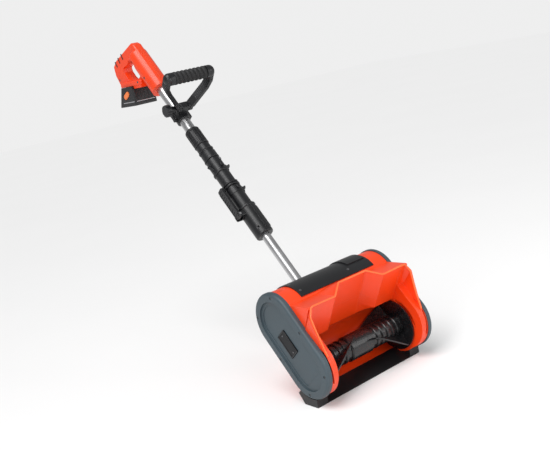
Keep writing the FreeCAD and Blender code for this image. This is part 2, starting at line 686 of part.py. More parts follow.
def make_motor():
    face_x = INNER_HALF - FIT
    at = lambda x: head_point(x, MOTOR_F, MOTOR_U)
    can = rod(MOTOR_RADIUS, at(face_x - MOTOR_LENGTH), at(face_x))
    can = can.makeChamfer(2.0, edges_at(can, face_x - MOTOR_LENGTH) + edges_at(can, face_x))
    can = can.fuse(rod(MOTOR_PILOT, at(face_x - 1), at(INNER_HALF + WALL)))
    can = can.cut(rod(MOTOR_SHAFT + RUN, at(face_x - MOTOR_LENGTH + 8), at(INNER_HALF + WALL + 1)))
    mount_x = INNER_HALF + WALL
    mount = rod(32.0, at(mount_x), at(mount_x + MOUNT_THICKNESS))
    mount = mount.cut(rod(MOTOR_SHAFT + 1.5, at(mount_x - 1), at(mount_x + MOUNT_THICKNESS + 1)))
    made = []
    for k in range(4):
        turn = math.pi / 4 + k * math.pi / 2
        place = head_point(mount_x + MOUNT_THICKNESS + 2.4, MOTOR_F + MOTOR_SCREW_RING * math.cos(turn),
                           MOTOR_U + MOTOR_SCREW_RING * math.sin(turn))
        mount = mount.cut(screw_hole(place, V(-1, 0, 0), 2.6, 20.0))
        can = can.cut(screw_hole(place, V(-1, 0, 0), 2.6, 15.0))
        made.append(screw(place, V(-1, 0, 0), 2.6, 14.0))
    save("motor", can, HEAD)
    save("motor_mount", mount, HEAD)
    save("motor_screws", Part.makeCompound(made), HEAD)
    spindle = rod(MOTOR_SHAFT, at(face_x - MOTOR_LENGTH + 10), at(PULLEY_X + PULLEY_WIDTH))
    save("motor_shaft", spindle, HEAD)


# ---------------------------------------------------------------- pole
COUPLER_RADIUS = 20.0
COUPLER_LOWER_RADIUS = 25.0
COUPLER_BODY_RADIUS = 22.0
LEVER_OUT = 36.0             # lever's middle line, out from the pole's axis
LEVER_LENGTH = 92.0
LEVER_WIDTH = 20.0
LEVER_PIN = 3.0


def on_pole(along):
    return V(0, 0, along)


def ring(outer, inner, z0, z1):
    return pipe(outer, inner, on_pole(z0), on_pole(z1))


def stepped(steps, bore):
    """A sleeve about the pole from (radius, start, end) steps, bored through."""
    parts = [rod(radius, on_pole(z0), on_pole(z1)) for radius, z0, z1 in steps]
    body = parts[0].fuse(parts[1:]) if len(parts) > 1 else parts[0]
    return body.cut(rod(bore, on_pole(steps[0][1] - 50), on_pole(steps[-1][2] + 50)))


def lower_clamp():
    """The widest sleeve: it guides the lower tube and carries the lock lever."""
    z0 = COUPLER_START
    z1 = COUPLER_BODY_START
    sleeve = rod(COUPLER_LOWER_RADIUS, on_pole(z0), on_pole(z1))
    sleeve = sleeve.makeFillet(5.0, [e for e in sleeve.Edges if abs(e.CenterOfMass.z - z0) < 1e-6])
    ear_start = LEVER_PIVOT - 9.0
    ears = box(-LEVER_OUT - 5, 0, -LEVER_WIDTH / 2 - 5, LEVER_WIDTH / 2 + 5, ear_start, LEVER_PIVOT + 7)
    ears = ears.makeFillet(3.0, ears.Edges)
    slot = box(-LEVER_OUT - 30, -COUPLER_LOWER_RADIUS - 1.5, -LEVER_WIDTH / 2 - MOVE,
               LEVER_WIDTH / 2 + MOVE,
               ear_start - 5, LEVER_PIVOT + 20)
    body = sleeve.fuse(ears.cut(slot))
    rib = box(-2, 2, -COUPLER_LOWER_RADIUS - 2, 0, z0 + 12, z1 - 8)
    body = body.fuse(rib.makeFillet(1.0, rib.Edges))
    body = body.cut(rod(LOWER_TUBE_RADIUS + SLIDE, on_pole(z0 - 50), on_pole(z1 + 50)))
    body = body.cut(rod(LEVER_PIN + 0.02, V(-LEVER_OUT, -40, LEVER_PIVOT),
                        V(-LEVER_OUT, 40, LEVER_PIVOT)))
    for place in clamp_screw_places():
        body = body.cut(screw_hole(place, V(0, 1, 0), 3.4, 40.0))
    return body


SLIDE = 0.3                  # radial gap of the telescoping tube
LEVER_PIVOT = COUPLER_BODY_START - 18.0


def clamp_screw_places():
    return [V(-17.0, -17.0, COUPLER_START + 22), V(17.0, -17.0, COUPLER_START + 66)]


def lever():
    """The quick lock: a flat lever that folds out from the coupler about a pin across the pole."""
    half = LEVER_WIDTH / 2
    arm = box(-LEVER_OUT - 5, -LEVER_OUT + 5, -half, half, LEVER_PIVOT - 6, LEVER_PIVOT + LEVER_LENGTH)
    arm = arm.makeFillet(2.5, arm.Edges)
    ridges = []
    for k in range(6):
        z = LEVER_PIVOT + 38 + 9 * k
        ridges.append(box(-LEVER_OUT - 6.2, -LEVER_OUT, -half + 2, half - 2, z, z + 4))
    body = arm.fuse(ridges)
    return body.cut(rod(LEVER_PIN + RUN, V(-LEVER_OUT, -40, LEVER_PIVOT),
                        V(-LEVER_OUT, 40, LEVER_PIVOT)))


def coupler_body():
    """The middle sleeve over the tubes' overlap."""
    z = COUPLER_BODY_START
    end = COUPLER_COLLAR_START
    steps = [(COUPLER_BODY_RADIUS, z, z + 44), (COUPLER_BODY_RADIUS + 1.5, z + 44, z + 62),
             (COUPLER_BODY_RADIUS - 1.0, z + 62, end)]
    body = stepped(steps, LOWER_TUBE_RADIUS + SLIDE)
    hook = box(-5, 5, -COUPLER_BODY_RADIUS - 9, -COUPLER_BODY_RADIUS + 4, z + 50, z + 58)
    body = body.fuse(hook.makeFillet(2.0, hook.Edges))
    body = body.cut(rod(UPPER_TUBE_RADIUS + 0.05, on_pole(UPPER_TUBE_START), on_pole(end + 50)))
    return body


def coupler_collar():
    """The upper sleeve, with its rings and a cable hook, clamped on the upper tube."""
    z = COUPLER_COLLAR_START
    end = COUPLER_END
    steps = [(COUPLER_RADIUS + 1, z, z + 40), (COUPLER_RADIUS - 1, z + 40, z + 44),
             (COUPLER_RADIUS + 1, z + 44, z + 66), (COUPLER_RADIUS - 1, z + 66, z + 70),
             (COUPLER_RADIUS, z + 70, z + 94), (COUPLER_RADIUS - 1.5, z + 94,
                                                z + 97), (COUPLER_RADIUS, z + 97, end)]
    body = stepped(steps, UPPER_TUBE_RADIUS + 0.05)
    front_hook = box(-5, 5, -COUPLER_RADIUS - 9, -COUPLER_RADIUS + 2, z + 4, z + 12)
    rear_hook = box(-5, 5, COUPLER_RADIUS - 2, COUPLER_RADIUS + 8, z + 14, z + 22)
    body = body.fuse([front_hook.makeFillet(2.0, front_hook.Edges),
                      rear_hook.makeFillet(2.0, rear_hook.Edges)])
    cut = rod(UPPER_TUBE_RADIUS + 0.05, on_pole(z - 5), on_pole(end + 5))
    return body.cut(cut)


def make_pole():
    tube = ring(LOWER_TUBE_RADIUS, LOWER_TUBE_RADIUS - TUBE_WALL, LOWER_TUBE_START, LOWER_TUBE_END)
    save("lower_tube", tube, POLE)
    bush = ring(UPPER_TUBE_RADIUS - TUBE_WALL - SLIDE, LOWER_TUBE_RADIUS + 0.02,
                LOWER_TUBE_END - 30, LOWER_TUBE_END - 6)
    save("tube_bush", bush, POLE)
    upper = ring(UPPER_TUBE_RADIUS, UPPER_TUBE_RADIUS - TUBE_WALL, UPPER_TUBE_START + 0.5,
                 UPPER_TUBE_END)
    save("upper_tube", upper, POLE)
    save("coupler_clamp", lower_clamp(), POLE)
    save("coupler_body", coupler_body(), POLE)
    save("coupler_collar", coupler_collar(), POLE)
    save("coupler_screws", Part.makeCompound([screw(p, V(0, 1, 0), 3.4,
                                                    20.0) for p in clamp_screw_places()]), POLE)
    save("lock_lever", lever(), POLE)
    half = LEVER_WIDTH / 2 + 5
    save("lever_pin", rod(LEVER_PIN, V(-LEVER_OUT, -half, LEVER_PIVOT),
                          V(-LEVER_OUT, half, LEVER_PIVOT)), POLE)
    collar = ring(SOCKET_RADIUS + 2.0, LOWER_TUBE_RADIUS + FIT, SOCKET_TOP, SOCKET_TOP + 12)
    collar = collar.makeChamfer(2.0,
                                [e for e in collar.Edges if abs(e.CenterOfMass.z - SOCKET_TOP - 12) < 1e-6
                                      and e.Length > 2 * math.pi * (SOCKET_RADIUS + 1)])
    save("pole_collar", collar, POLE)


# ---------------------------------------------------------------- loop handle
CLAMP_RADIUS = 21.0
CLAMP_HALF = 22.0            # half length along the pole
BOLT_RADIUS = 3.0
BOLT_BACK = -33.0            # bolt axis, ahead of the pole's axis
KNOB_OUT = 40.0
EYE_HALF = 12.0
LEG_WIDTH = 24.0
LEG_THICKNESS = 11.0


def clamp_half(front):
    """Half of the clamp round the upper tube; the front half carries the bolt's ear."""
    z0 = AUX_CENTRE - CLAMP_HALF
    z1 = AUX_CENTRE + CLAMP_HALF
    shell = ring(CLAMP_RADIUS, UPPER_TUBE_RADIUS + GRIP_SLIDE, z0, z1)
    if front:
        ear = box(-EYE_HALF, EYE_HALF, BOLT_BACK - 11, -UPPER_TUBE_RADIUS - 3, AUX_CENTRE - 11,
                  AUX_CENTRE + 11)
        shell = shell.fuse(ear.makeFillet(3.0,
                                          [e for e in ear.Edges if e.CenterOfMass.y < BOLT_BACK - 10]))
        keep = box(-60, 60, -60, -0.3, z0 - 5, z1 + 5)
        shell = shell.common(keep)
        bolt = rod(BOLT_RADIUS + 0.02, V(-60, BOLT_BACK, AUX_CENTRE), V(60, BOLT_BACK, AUX_CENTRE))
        shell = shell.cut(bolt)
    else:
        shell = shell.common(box(-60, 60, 0.3, 60, z0 - 5, z1 + 5))
    flange_y = (-4.5, -0.3) if front else (0.3, 4.5)
    for sign in (-1, 1):
        flange = box(sign * (CLAMP_RADIUS - 2), sign * (CLAMP_RADIUS + 7), flange_y[0], flange_y[1],
                     AUX_CENTRE - 16, AUX_CENTRE + 16)
        shell = shell.fuse(flange)
        for z in (-10, 10):
            hole = rod(1.8, V(sign * (CLAMP_RADIUS + 3), -10, AUX_CENTRE + z),
                       V(sign * (CLAMP_RADIUS + 3), 10, AUX_CENTRE + z))
            shell = shell.cut(hole)
    return shell


GRIP_SLIDE = 0.3


def loop_frame():
    """The D loop: two side legs, rounded shoulders and the core of the cross grip."""
    grip_y = -AUX_REACH
    z = AUX_CENTRE + LOOP_RISE
    core = rod(GRIP_RADIUS - 4.5, V(-AUX_HALF_WIDTH, grip_y, z), V(AUX_HALF_WIDTH, grip_y, z))
    parts = [core]
    for sign in (-1, 1):
        outer_x = sign * (AUX_HALF_WIDTH + GRIP_RADIUS - 0.5)
        rim = rod(GRIP_RADIUS - 0.5, V(sign * (AUX_GRIP_HALF + FIT), grip_y, z), V(outer_x, grip_y, z))
        parts.append(rim.makeFillet(GRIP_RADIUS - 3.0, edges_at(rim, outer_x)))
        points = [(sign * x, y, dz) for x, y, dz in LEG_LINE]
        for k in range(len(points) - 1):
            parts.append(leg_piece(points[k], points[k + 1]))
        for x, y, dz in points[1:-1]:
            joint = rod(LEG_THICKNESS / 2, V(x, y, AUX_CENTRE + dz - LEG_WIDTH / 2),
                        V(x, y, AUX_CENTRE + dz + LEG_WIDTH / 2))
            parts.append(joint)
        eye = rod(12.0, V(sign * (EYE_HALF + MOVE), BOLT_BACK, AUX_CENTRE),
                  V(sign * (EYE_HALF + 12), BOLT_BACK, AUX_CENTRE))
        parts.append(eye)
    body = parts[0].fuse(parts[1:])
    body = body.cut(rod(BOLT_RADIUS + RUN, V(-80, BOLT_BACK, AUX_CENTRE), V(80, BOLT_BACK, AUX_CENTRE)))
    for sign in (-1, 1):
        seat = rod(12.5, V(sign * (EYE_HALF + 12), BOLT_BACK, AUX_CENTRE),
                   V(sign * 90, BOLT_BACK, AUX_CENTRE))
        body = body.cut(seat)
    return body


def leg_piece(a, b):
    """A straight flat stretch of a leg between two points of its middle line."""
    start = V(a[0], a[1], AUX_CENTRE + a[2])
    end = V(b[0], b[1], AUX_CENTRE + b[2])
    along = V(end.x - start.x, end.y - start.y, 0)
    across = V(-along.y, along.x, 0).normalize() * (LEG_THICKNESS / 2)
    low = V(0, 0, -LEG_WIDTH / 2)
    bottom = [start + across + low, end + across + low, end - across + low, start - across + low]
    return prism(bottom, V(0, 0, LEG_WIDTH))


LOOP_RISE = 21.0             # the cross grip lies this far along the pole past the clamp
LEG_LINE = [(EYE_HALF + 6.0, BOLT_BACK, 0.0), (34.0, BOLT_BACK - 26.0, 3.0),
            (60.0, BOLT_BACK - 60.0, 10.0),
            (AUX_HALF_WIDTH + 8.0, -AUX_REACH + 24.0, 16.0), (AUX_HALF_WIDTH + 8.0, -AUX_REACH,
                                                              LOOP_RISE)]


def cross_grip():
    """The ribbed rubber sleeve on the cross bar."""
    y = -AUX_REACH
    z = AUX_CENTRE + LOOP_RISE
    bars = []
    count = 8
    pitch = 2 * AUX_GRIP_HALF / count
    sleeve = rod(GRIP_RADIUS - 2.0, V(-AUX_GRIP_HALF, y, z), V(AUX_GRIP_HALF, y, z))
    for k in range(count):
        x0 = -AUX_GRIP_HALF + k * pitch
        rib = rod(GRIP_RADIUS, V(x0 + 1.5, y, z), V(x0 + pitch - 1.5, y, z))
        bars.append(rib.makeChamfer(1.5, edges_at(rib, x0 + 1.5) + edges_at(rib, x0 + pitch - 1.5)))
    return sleeve.fuse(bars).cut(rod(GRIP_RADIUS - 4.5 + 0.05, V(-100, y, z), V(100, y, z)))


def knob():
    """The clamp knob: a lobed head on the bolt's threaded end."""
    x0 = -KNOB_OUT - 20
    x1 = -EYE_HALF - 12 - MOVE
    at = lambda x: V(x, BOLT_BACK, AUX_CENTRE)
    body = rod(9.0, at(x0 + 14), at(x1))
    head = rod(17.0, at(x0), at(x0 + 15))
    head = head.makeFillet(2.5, edges_at(head, x0) + edges_at(head, x0 + 15))
    lobes = []
    for k in range(6):
        turn = 2 * math.pi * k / 6
        place = V(x0 - 1, BOLT_BACK + 20.5 * math.cos(turn), AUX_CENTRE + 20.5 * math.sin(turn))
        lobes.append(rod(6.0, place, place + V(20, 0, 0)))
    return body.fuse(head.cut(lobes[0].fuse(lobes[1:]))).cut(rod(BOLT_RADIUS + RUN, at(x0 + 6), at(50)))


def make_loop_handle():
    save("clamp_front", clamp_half(True), POLE)
    save("clamp_rear", clamp_half(False), POLE)
    bolt = rod(BOLT_RADIUS, V(-KNOB_OUT - 8, BOLT_BACK, AUX_CENTRE),
               V(EYE_HALF + 12 + MOVE, BOLT_BACK, AUX_CENTRE))
    head = rod(7.0, V(EYE_HALF + 12 + MOVE, BOLT_BACK, AUX_CENTRE),
               V(EYE_HALF + 17, BOLT_BACK, AUX_CENTRE))
    save("clamp_bolt", bolt.fuse(head), POLE)
    screws = []
    for sign in (-1, 1):
        for z in (-10, 10):
            screws.append(screw(V(sign * (CLAMP_RADIUS + 3), 6.95, AUX_CENTRE + z), V(0, -1, 0),
                                3.2, 14.0))
    save("clamp_screws", Part.makeCompound(screws), POLE)
    save("clamp_knob", knob(), POLE)
    save("loop_frame", loop_frame(), POLE)
    save("cross_grip", cross_grip(), POLE)


# ---------------------------------------------------------------- rear handle
GRIP_OUTLINE = [(-20.7, 17.4), (79.0, 138.0), (93.0, 144.0), (144.0, 127.0), (203.0, 107.0),
                (227.0, 91.0),
                (226.0, 62.0), (210.0, 31.0), (200.0, 24.5), (58.0, 24.5), (19.5, -19.0)]
HAND_OPENING = [(78.0, 46.0), (76.0, 84.0), (88.0, 98.0), (126.0, 98.0), (136.0, 87.0), (152.0, 85.0),
                (168.0, 79.0), (166.0, 66.0), (154.0, 50.0), (142.0, 41.0), (90.0, 41.0)]
SHELL_INSET = 4.5            # outer skin to the hollow: soft layer plus moulded wall
SOFT_LAYER = 2.0
FOOT_FLOOR = 24.5            # underside of the foot that the battery slides on
FOOT_HALF = 30.0
FOOT_FRONT = 58.0
FOOT_BACK = 182.0
FOOT_TOP = 39.0
NOSE_FLOOR = 16.0            # the foot's front reaches down over the battery's front edge
RAIL_HALF = 24.0             # half width of the battery rail's flange
NECK_HALF = 19.0
RAIL_LIP = 4.5               # height of the lips that hold the rail
RAIL_DEPTH = 10.0
PACK_FRONT = 100.0
PACK_BACK = PACK_FRONT + PACK_TOP_LENGTH
NOSE_BACK = PACK_FRONT + 4.0
SOCKET_DEPTH = 46.0
ALONG = V(0, math.cos(SLOPE), math.sin(SLOPE))
TRIGGER_HALF = 7.0
TRIGGER_FRONT = 98.0
TRIGGER_BACK = 124.0


def side_prism(outline, half):
    """Extrude a (back, rise) outline to both sides of the handle's middle plane."""
    return prism([V(-half, b, r) for b, r in outline], V(2 * half, 0, 0))


def side_edges(shape):
    return [e for e in shape.Edges if abs(e.BoundBox.YLength) < 1e-6 and abs(e.BoundBox.ZLength) < 1e-6]


def inset(outline, distance, half):
    """The outline moved inward (outward when negative) and extruded."""
    wire = Part.makePolygon([V(0, b, r) for b, r in outline] + [V(0, outline[0][0], outline[0][1])])
    moved = Part.Face(wire).makeOffset2D(-distance, 0)
    flat = Part.Face(moved.Wires[0])
    return flat.extrude(V(2 * half, 0, 0)).translated(V(-half, 0, 0))


def rims(shape, half):
    return [e for e in shape.Edges if abs(abs(e.CenterOfMass.x) - half) < 1e-6 and e.BoundBox.XLength < 1e-6]


def handle_outer():
    loop = side_prism(GRIP_OUTLINE, GRIP_HALF)
    loop = loop.makeFillet(8.0, side_edges(loop))
    loop = loop.makeFillet(7.0, rims(loop, GRIP_HALF))
    barrel = rod(BARREL_RADIUS, V(0, 0, 0), ALONG * BARREL_LENGTH)
    far = [e for e in barrel.Edges if e.CenterOfMass.distanceToPoint(ALONG * BARREL_LENGTH) < 1e-3]
    near = [e for e in barrel.Edges if e.CenterOfMass.distanceToPoint(V(0, 0, 0)) < 1e-3]
    barrel = barrel.makeFillet(16.0, far)
    foot = box(-FOOT_HALF, FOOT_HALF, FOOT_FRONT, FOOT_BACK, FOOT_FLOOR, FOOT_TOP)
    foot = foot.makeFillet(6.0, [e for e in foot.Edges if e.CenterOfMass.z > FOOT_FLOOR + 1])
    nose = box(-FOOT_HALF + 1, FOOT_HALF - 1, FOOT_FRONT, NOSE_BACK, NOSE_FLOOR, FOOT_FLOOR + 2)
    body = loop.fuse([barrel, foot, nose])
    return body.cut(hand_hole())


def hand_hole():
    hole = side_prism(HAND_OPENING, 60.0)
    return hole.makeFillet(6.0, side_edges(hole))


def strip_region():
    """Where the soft layer lies: a strip down the outside of the grip and three side fingers."""
    strip = side_prism([(140.0, 150.0), (140.0, 118.0), (190.0, 100.0), (212.0, 90.0), (260.0, 90.0),
                        (260.0, 110.0), (207.0, 130.0)], 9.0)
    fingers = []
    for back, rise in ((150.0, 111.0), (173.0, 102.0), (195.0, 92.0)):
        foot = [(back - 6, rise), (back + 6, rise - 3), (back + 13, rise + 36), (back + 1, rise + 40)]
        fingers.append(side_prism(foot, 30.0))
    return strip.fuse(fingers)


def rail_channel():
    front = NOSE_BACK
    neck = box(-NECK_HALF - MOVE, NECK_HALF + MOVE, front, FOOT_BACK + 35, FOOT_FLOOR - 5,
               FOOT_FLOOR + RAIL_LIP + 1)
    flange = box(-RAIL_HALF - MOVE, RAIL_HALF + MOVE, front, FOOT_BACK + 35,
                 FOOT_FLOOR + RAIL_LIP, FOOT_FLOOR + RAIL_DEPTH)
    return neck.fuse(flange)


def shell_screw_places():
    return [(58.0, 106.0), (33.0, 40.0), (74.0, 32.0), (204.0, 48.0)]


def handle_hollow():
    """The hollow of the shells: grip, barrel and trigger room."""
    room = inset(GRIP_OUTLINE, SHELL_INSET, GRIP_HALF - SHELL_INSET)
    room = room.cut(inset(HAND_OPENING, -SHELL_INSET + 1.0, 60.0))
    barrel = rod(BARREL_RADIUS - HANDLE_WALL, ALONG * (SOCKET_DEPTH + 6), ALONG * (BARREL_LENGTH - 8))
    room = room.fuse(barrel.cut(inset(HAND_OPENING, -SHELL_INSET, 60.0)))
    room = room.cut(box(-60, 60, FOOT_FRONT - 60, FOOT_BACK + 60, FOOT_FLOOR - 80,
                        FOOT_FLOOR + RAIL_DEPTH + HANDLE_WALL))
    socket_end = ALONG * (SOCKET_DEPTH + 6)
    room = room.cut(rod(BARREL_RADIUS + 20, V(0, 0, 0) - ALONG * 80, socket_end))
    return room


def trigger_slot():
    return box(-TRIGGER_HALF - MOVE, TRIGGER_HALF + MOVE, TRIGGER_FRONT - MOVE, TRIGGER_BACK + MOVE,
               90, 110)


def button_hole():
    return rod(LOCK_RADIUS + MOVE, LOCK_AT - LOCK_PUSH * 10, LOCK_AT + LOCK_PUSH * 30)


LOCK_RADIUS = 6.0
LOCK_PUSH = V(0, -0.316, -0.949)     # the way the lock button goes in, square to the grip's top
LOCK_AT = V(0, 119.0, 138.0)         # middle of the lock button's top face


def trigger_shape():
    outline = [(TRIGGER_FRONT, 99.0), (TRIGGER_FRONT + 1, 84.0), (TRIGGER_FRONT + 5, 80.0),
               (TRIGGER_FRONT + 11, 82.0),
               (TRIGGER_FRONT + 17, 86.0), (TRIGGER_BACK - 3, 89.0), (TRIGGER_BACK,
                                                                      92.0), (TRIGGER_BACK, 99.0)]
    finger = side_prism(outline, TRIGGER_HALF)
    finger = finger.makeFillet(1.5, [e for e in side_edges(finger) if e.CenterOfMass.z < 95])
    finger = finger.fuse(side_prism([(TRIGGER_FRONT, 98), (TRIGGER_BACK, 98), (TRIGGER_BACK, 104),
                                     (TRIGGER_FRONT, 104)], TRIGGER_HALF))
    flange = box(-TRIGGER_HALF - 2.5, TRIGGER_HALF + 2.5, TRIGGER_FRONT - 1.5, TRIGGER_BACK + 1.5,
                 102.0, 104.0)
    return finger.fuse(flange)


def coil(radius, wire, turns, start, axis):
    """A compression spring from a swept helix."""
    height = axis.Length
    helix = Part.makeHelix((height - 2 * wire) / turns, height - 2 * wire, radius)
    profile = Part.Wire(Part.makeCircle(wire / 2, V(radius, 0, 0), V(0, 1, 0)))
    body = Part.Wire(helix.Edges).makePipeShell([profile], True, True)
    body.Placement = FreeCAD.Placement(start + V(axis.x, axis.y, axis.z).normalize() * wire,
                                       FreeCAD.Rotation(V(0, 0, 1), axis))
    return body


SWITCH_FLOOR = 111.0
SWITCH_TOP = 124.0


def make_handle():
    outer = handle_outer()
    core = inset(GRIP_OUTLINE, SOFT_LAYER, GRIP_HALF - SOFT_LAYER + 0.5)
    soft = outer.common(strip_region()).cut(core)
    soft = soft.cut(inset(HAND_OPENING, -12.0, 60.0))
    soft = sorted(soft.Solids, key=lambda s: s.Volume)[-1]
    shell = outer.cut(soft)
    shell = shell.cut(handle_hollow())
    for b, r in shell_screw_places():
        depth = shell_screw_depth(b, r) - 1.0
        shell = shell.fuse(rod(5.0, V(-depth, b, r), V(depth, b, r)))
    shell = shell.cut([rail_channel(), trigger_slot(), button_hole()])
    shell = shell.cut(rod(UPPER_TUBE_RADIUS + 0.1, ALONG * -60,
                          ALONG * (UPPER_TUBE_END - HANDLE_START + 0.3)))
    shell = shell.cut(rod(9.0, ALONG * 20, ALONG * (SOCKET_DEPTH + 10)))
    for b, r in shell_screw_places():
        shell = shell.cut(screw_hole(V(-shell_screw_depth(b, r), b, r), V(1, 0, 0), 3.4,
                                     shell_screw_depth(b, r) + 9))
    block = box(-NECK_HALF + MOVE, NECK_HALF - MOVE, NOSE_BACK - 8, NOSE_BACK + 1,
                FOOT_FLOOR + MOVE, FOOT_FLOOR + 9.5)
    shell = shell.cut(block)
    left = shell.common(box(-80, 0, -80, 300, -80, 220))
    right = shell.common(box(0, 80, -80, 300, -80, 220))
    save("handle_left", left, HANDLE)
    save("handle_right", right, HANDLE)
    save("soft_grip", soft, HANDLE)
    screws = []
    for b, r in shell_screw_places():
        depth = shell_screw_depth(b, r)
        screws.append(screw(V(-depth, b, r), V(1, 0, 0), 3.4, depth + 8))
    save("handle_screws", Part.makeCompound(screws), HANDLE)
    save("trigger", trigger_shape(), HANDLE)
    middle = (TRIGGER_FRONT + TRIGGER_BACK) / 2
    case = box(-8.5, 8.5, TRIGGER_FRONT - 4, TRIGGER_BACK + 8, SWITCH_FLOOR, SWITCH_TOP)
    case = case.makeFillet(1.0, case.Edges)
    case = case.cut(rod(4.5, V(0, middle, SWITCH_FLOOR - 1), V(0, middle, SWITCH_FLOOR + 9)))
    for side in (-1, 1):
        case = case.fuse(box(side * 8, side * (GRIP_HALF - SHELL_INSET), middle - 4, middle + 8,
                             SWITCH_FLOOR + 3, SWITCH_TOP - 3))
    case = case.cut(button_hole())
    save("switch_box", case, HANDLE)
    save("trigger_spring", coil(3.2, 0.8, 5, V(0, middle, 104.0),
                                V(0, 0, SWITCH_FLOOR + 9.0 - 104.0)), HANDLE)
    stem = rod(LOCK_RADIUS - 2.5, LOCK_AT + LOCK_PUSH * 6, LOCK_AT + LOCK_PUSH * 12)
    cap = rod(LOCK_RADIUS, LOCK_AT, LOCK_AT + LOCK_PUSH * 8)
    cap = cap.makeFillet(1.5, [e for e in cap.Edges if e.CenterOfMass.distanceToPoint(LOCK_AT) < 1e-3])
    save("lock_button", cap.fuse(stem), HANDLE)
    save("terminal_block", terminal_block(), HANDLE)
    board = box(-1.6, 0, -20, 6, HANDLE_START + 56, HANDLE_START + 102)
    for y in (-14, 0):
        for z in (62, 96):
            board = board.fuse(rod(2.5, V(-1.6, y, HANDLE_START + z), V(-21.2, y, HANDLE_START + z)))
    chips = [box(0, 5, -17, -9, HANDLE_START + 66, HANDLE_START + 80),
             box(0, 8, -6, 4, HANDLE_START + 68, HANDLE_START + 84),
             box(0, 3, -14, -4, HANDLE_START + 88, HANDLE_START + 96)]
    board = board.fuse(chips)
    board.Placement = POLE.multiply(board.Placement)
    for half in (left, right):
        placed = half.copy()
        placed.Placement = HANDLE.multiply(placed.Placement)
        board = board.cut(placed)
    save("control_board", board, FreeCAD.Placement())


def shell_screw_depth(back, rise):
    """How far out the screw heads sit, just under the shell's surface there."""
    if rise < FOOT_TOP and back > FOOT_FRONT:
        return FOOT_HALF - 0.3
    along = back * math.cos(SLOPE) + rise * math.sin(SLOPE)
    off = -back * math.sin(SLOPE) + rise * math.cos(SLOPE)
    if abs(off) < BARREL_RADIUS - 2 and along < BARREL_LENGTH - 16:
        return math.sqrt(BARREL_RADIUS ** 2 - (abs(off) + 3.6) ** 2) - 0.5
    return GRIP_HALF - 0.3


CONTACT_X = (-12.0, -4.0, 4.0, 12.0)


def terminal_block():
    block = box(-NECK_HALF + MOVE, NECK_HALF - MOVE, NOSE_BACK - 8, NOSE_BACK + 0.1,
                FOOT_FLOOR + MOVE, FOOT_FLOOR + 9.5)
    block = block.makeFillet(0.8, block.Edges)
    blades = [box(x - 0.5, x + 0.5, NOSE_BACK - 1, NOSE_BACK + 10, FOOT_FLOOR + 2,
                  FOOT_FLOOR + 7) for x in CONTACT_X]
    return block.fuse(blades)


# ---------------------------------------------------------------- battery pack
PACK_TOP = FOOT_FLOOR - MOVE
PACK_BOTTOM = PACK_TOP - PACK_HEIGHT
PACK_CORNER = 4.0            # round on the pack's upright edges
PACK_SPLIT = PACK_BOTTOM + 16.5
PACK_HALF = PACK_WIDTH / 2
PACK_NOTCH = NOSE_BACK + MOVE          # the pack's front edge steps down under the foot's nose
CELL_RADIUS = 9.0
PACK_SKIN = 2.5
BUTTON_BACK = PACK_FRONT + 46.0
BUTTON_RISE = 0.0
BUTTON_REACH = 9.0           # button's middle to each round end's centre
BUTTON_RADIUS = 7.5
BUTTON_TILT = 25.0
BACK_SKIN = 1.15             # the leaning back wall, thinned behind the last cell
CELL_PITCH = 2 * CELL_RADIUS + 0.02


def pack_back(rise):
    """The leaning back face: how far back it lies at a height."""
    share = (PACK_TOP - rise) / PACK_HEIGHT
    return PACK_BACK + (PACK_LENGTH - PACK_TOP_LENGTH) * share


def pack_body():
    """The pack's outer form: a block with a stepped front edge and a back that leans in upward."""
    outline = [(PACK_NOTCH, PACK_TOP), (PACK_BACK, PACK_TOP),
               (pack_back(PACK_BOTTOM + 6), PACK_BOTTOM + 6),
               (PACK_FRONT + PACK_LENGTH - 6, PACK_BOTTOM), (PACK_FRONT + 5,
                                                             PACK_BOTTOM), (PACK_FRONT, PACK_BOTTOM + 5),
               (PACK_FRONT, NOSE_FLOOR - MOVE), (PACK_NOTCH, NOSE_FLOOR - MOVE)]
    body = side_prism(outline, PACK_HALF)
    upright = [e for e in body.Edges if e.BoundBox.XLength < 1e-6 and e.BoundBox.ZLength > 20]
    return body.makeFillet(PACK_CORNER, upright)


def oval(reach0, reach1, grow):
    """The release button's slanting oval, standing along X."""
    turn = math.radians(BUTTON_TILT)
    run = V(0, math.cos(turn), -math.sin(turn))
    across = V(0, math.sin(turn), math.cos(turn)) * (BUTTON_RADIUS + grow)
    middle = V(reach0, BUTTON_BACK, BUTTON_RISE)
    push = V(reach1 - reach0, 0, 0)
    ends = [middle - run * BUTTON_REACH, middle + run * BUTTON_REACH]
    rounds = [rod(BUTTON_RADIUS + grow, end, end + push) for end in ends]
    bar = prism([ends[0] - across, ends[1] - across, ends[1] + across, ends[0] + across], push)
    return bar.fuse(rounds).removeSplitter()


def pack_room():
    """The hollow for the cells and the board over them."""
    front = PACK_FRONT + PACK_SKIN
    outline = [(front, PACK_BOTTOM + PACK_SKIN), (front, NOSE_FLOOR - MOVE - PACK_SKIN),
               (PACK_NOTCH + 13.0, NOSE_FLOOR - MOVE - PACK_SKIN), (PACK_NOTCH + 13.0,
                                                                    PACK_TOP - PACK_SKIN),
               (pack_back(PACK_TOP - PACK_SKIN) - BACK_SKIN, PACK_TOP - PACK_SKIN),
               (pack_back(PACK_BOTTOM + CELL_RADIUS) - BACK_SKIN, PACK_BOTTOM + CELL_RADIUS),
               (PACK_FRONT + PACK_LENGTH - 6.5, PACK_BOTTOM + PACK_SKIN)]
    return side_prism(outline, PACK_HALF - PACK_SKIN)


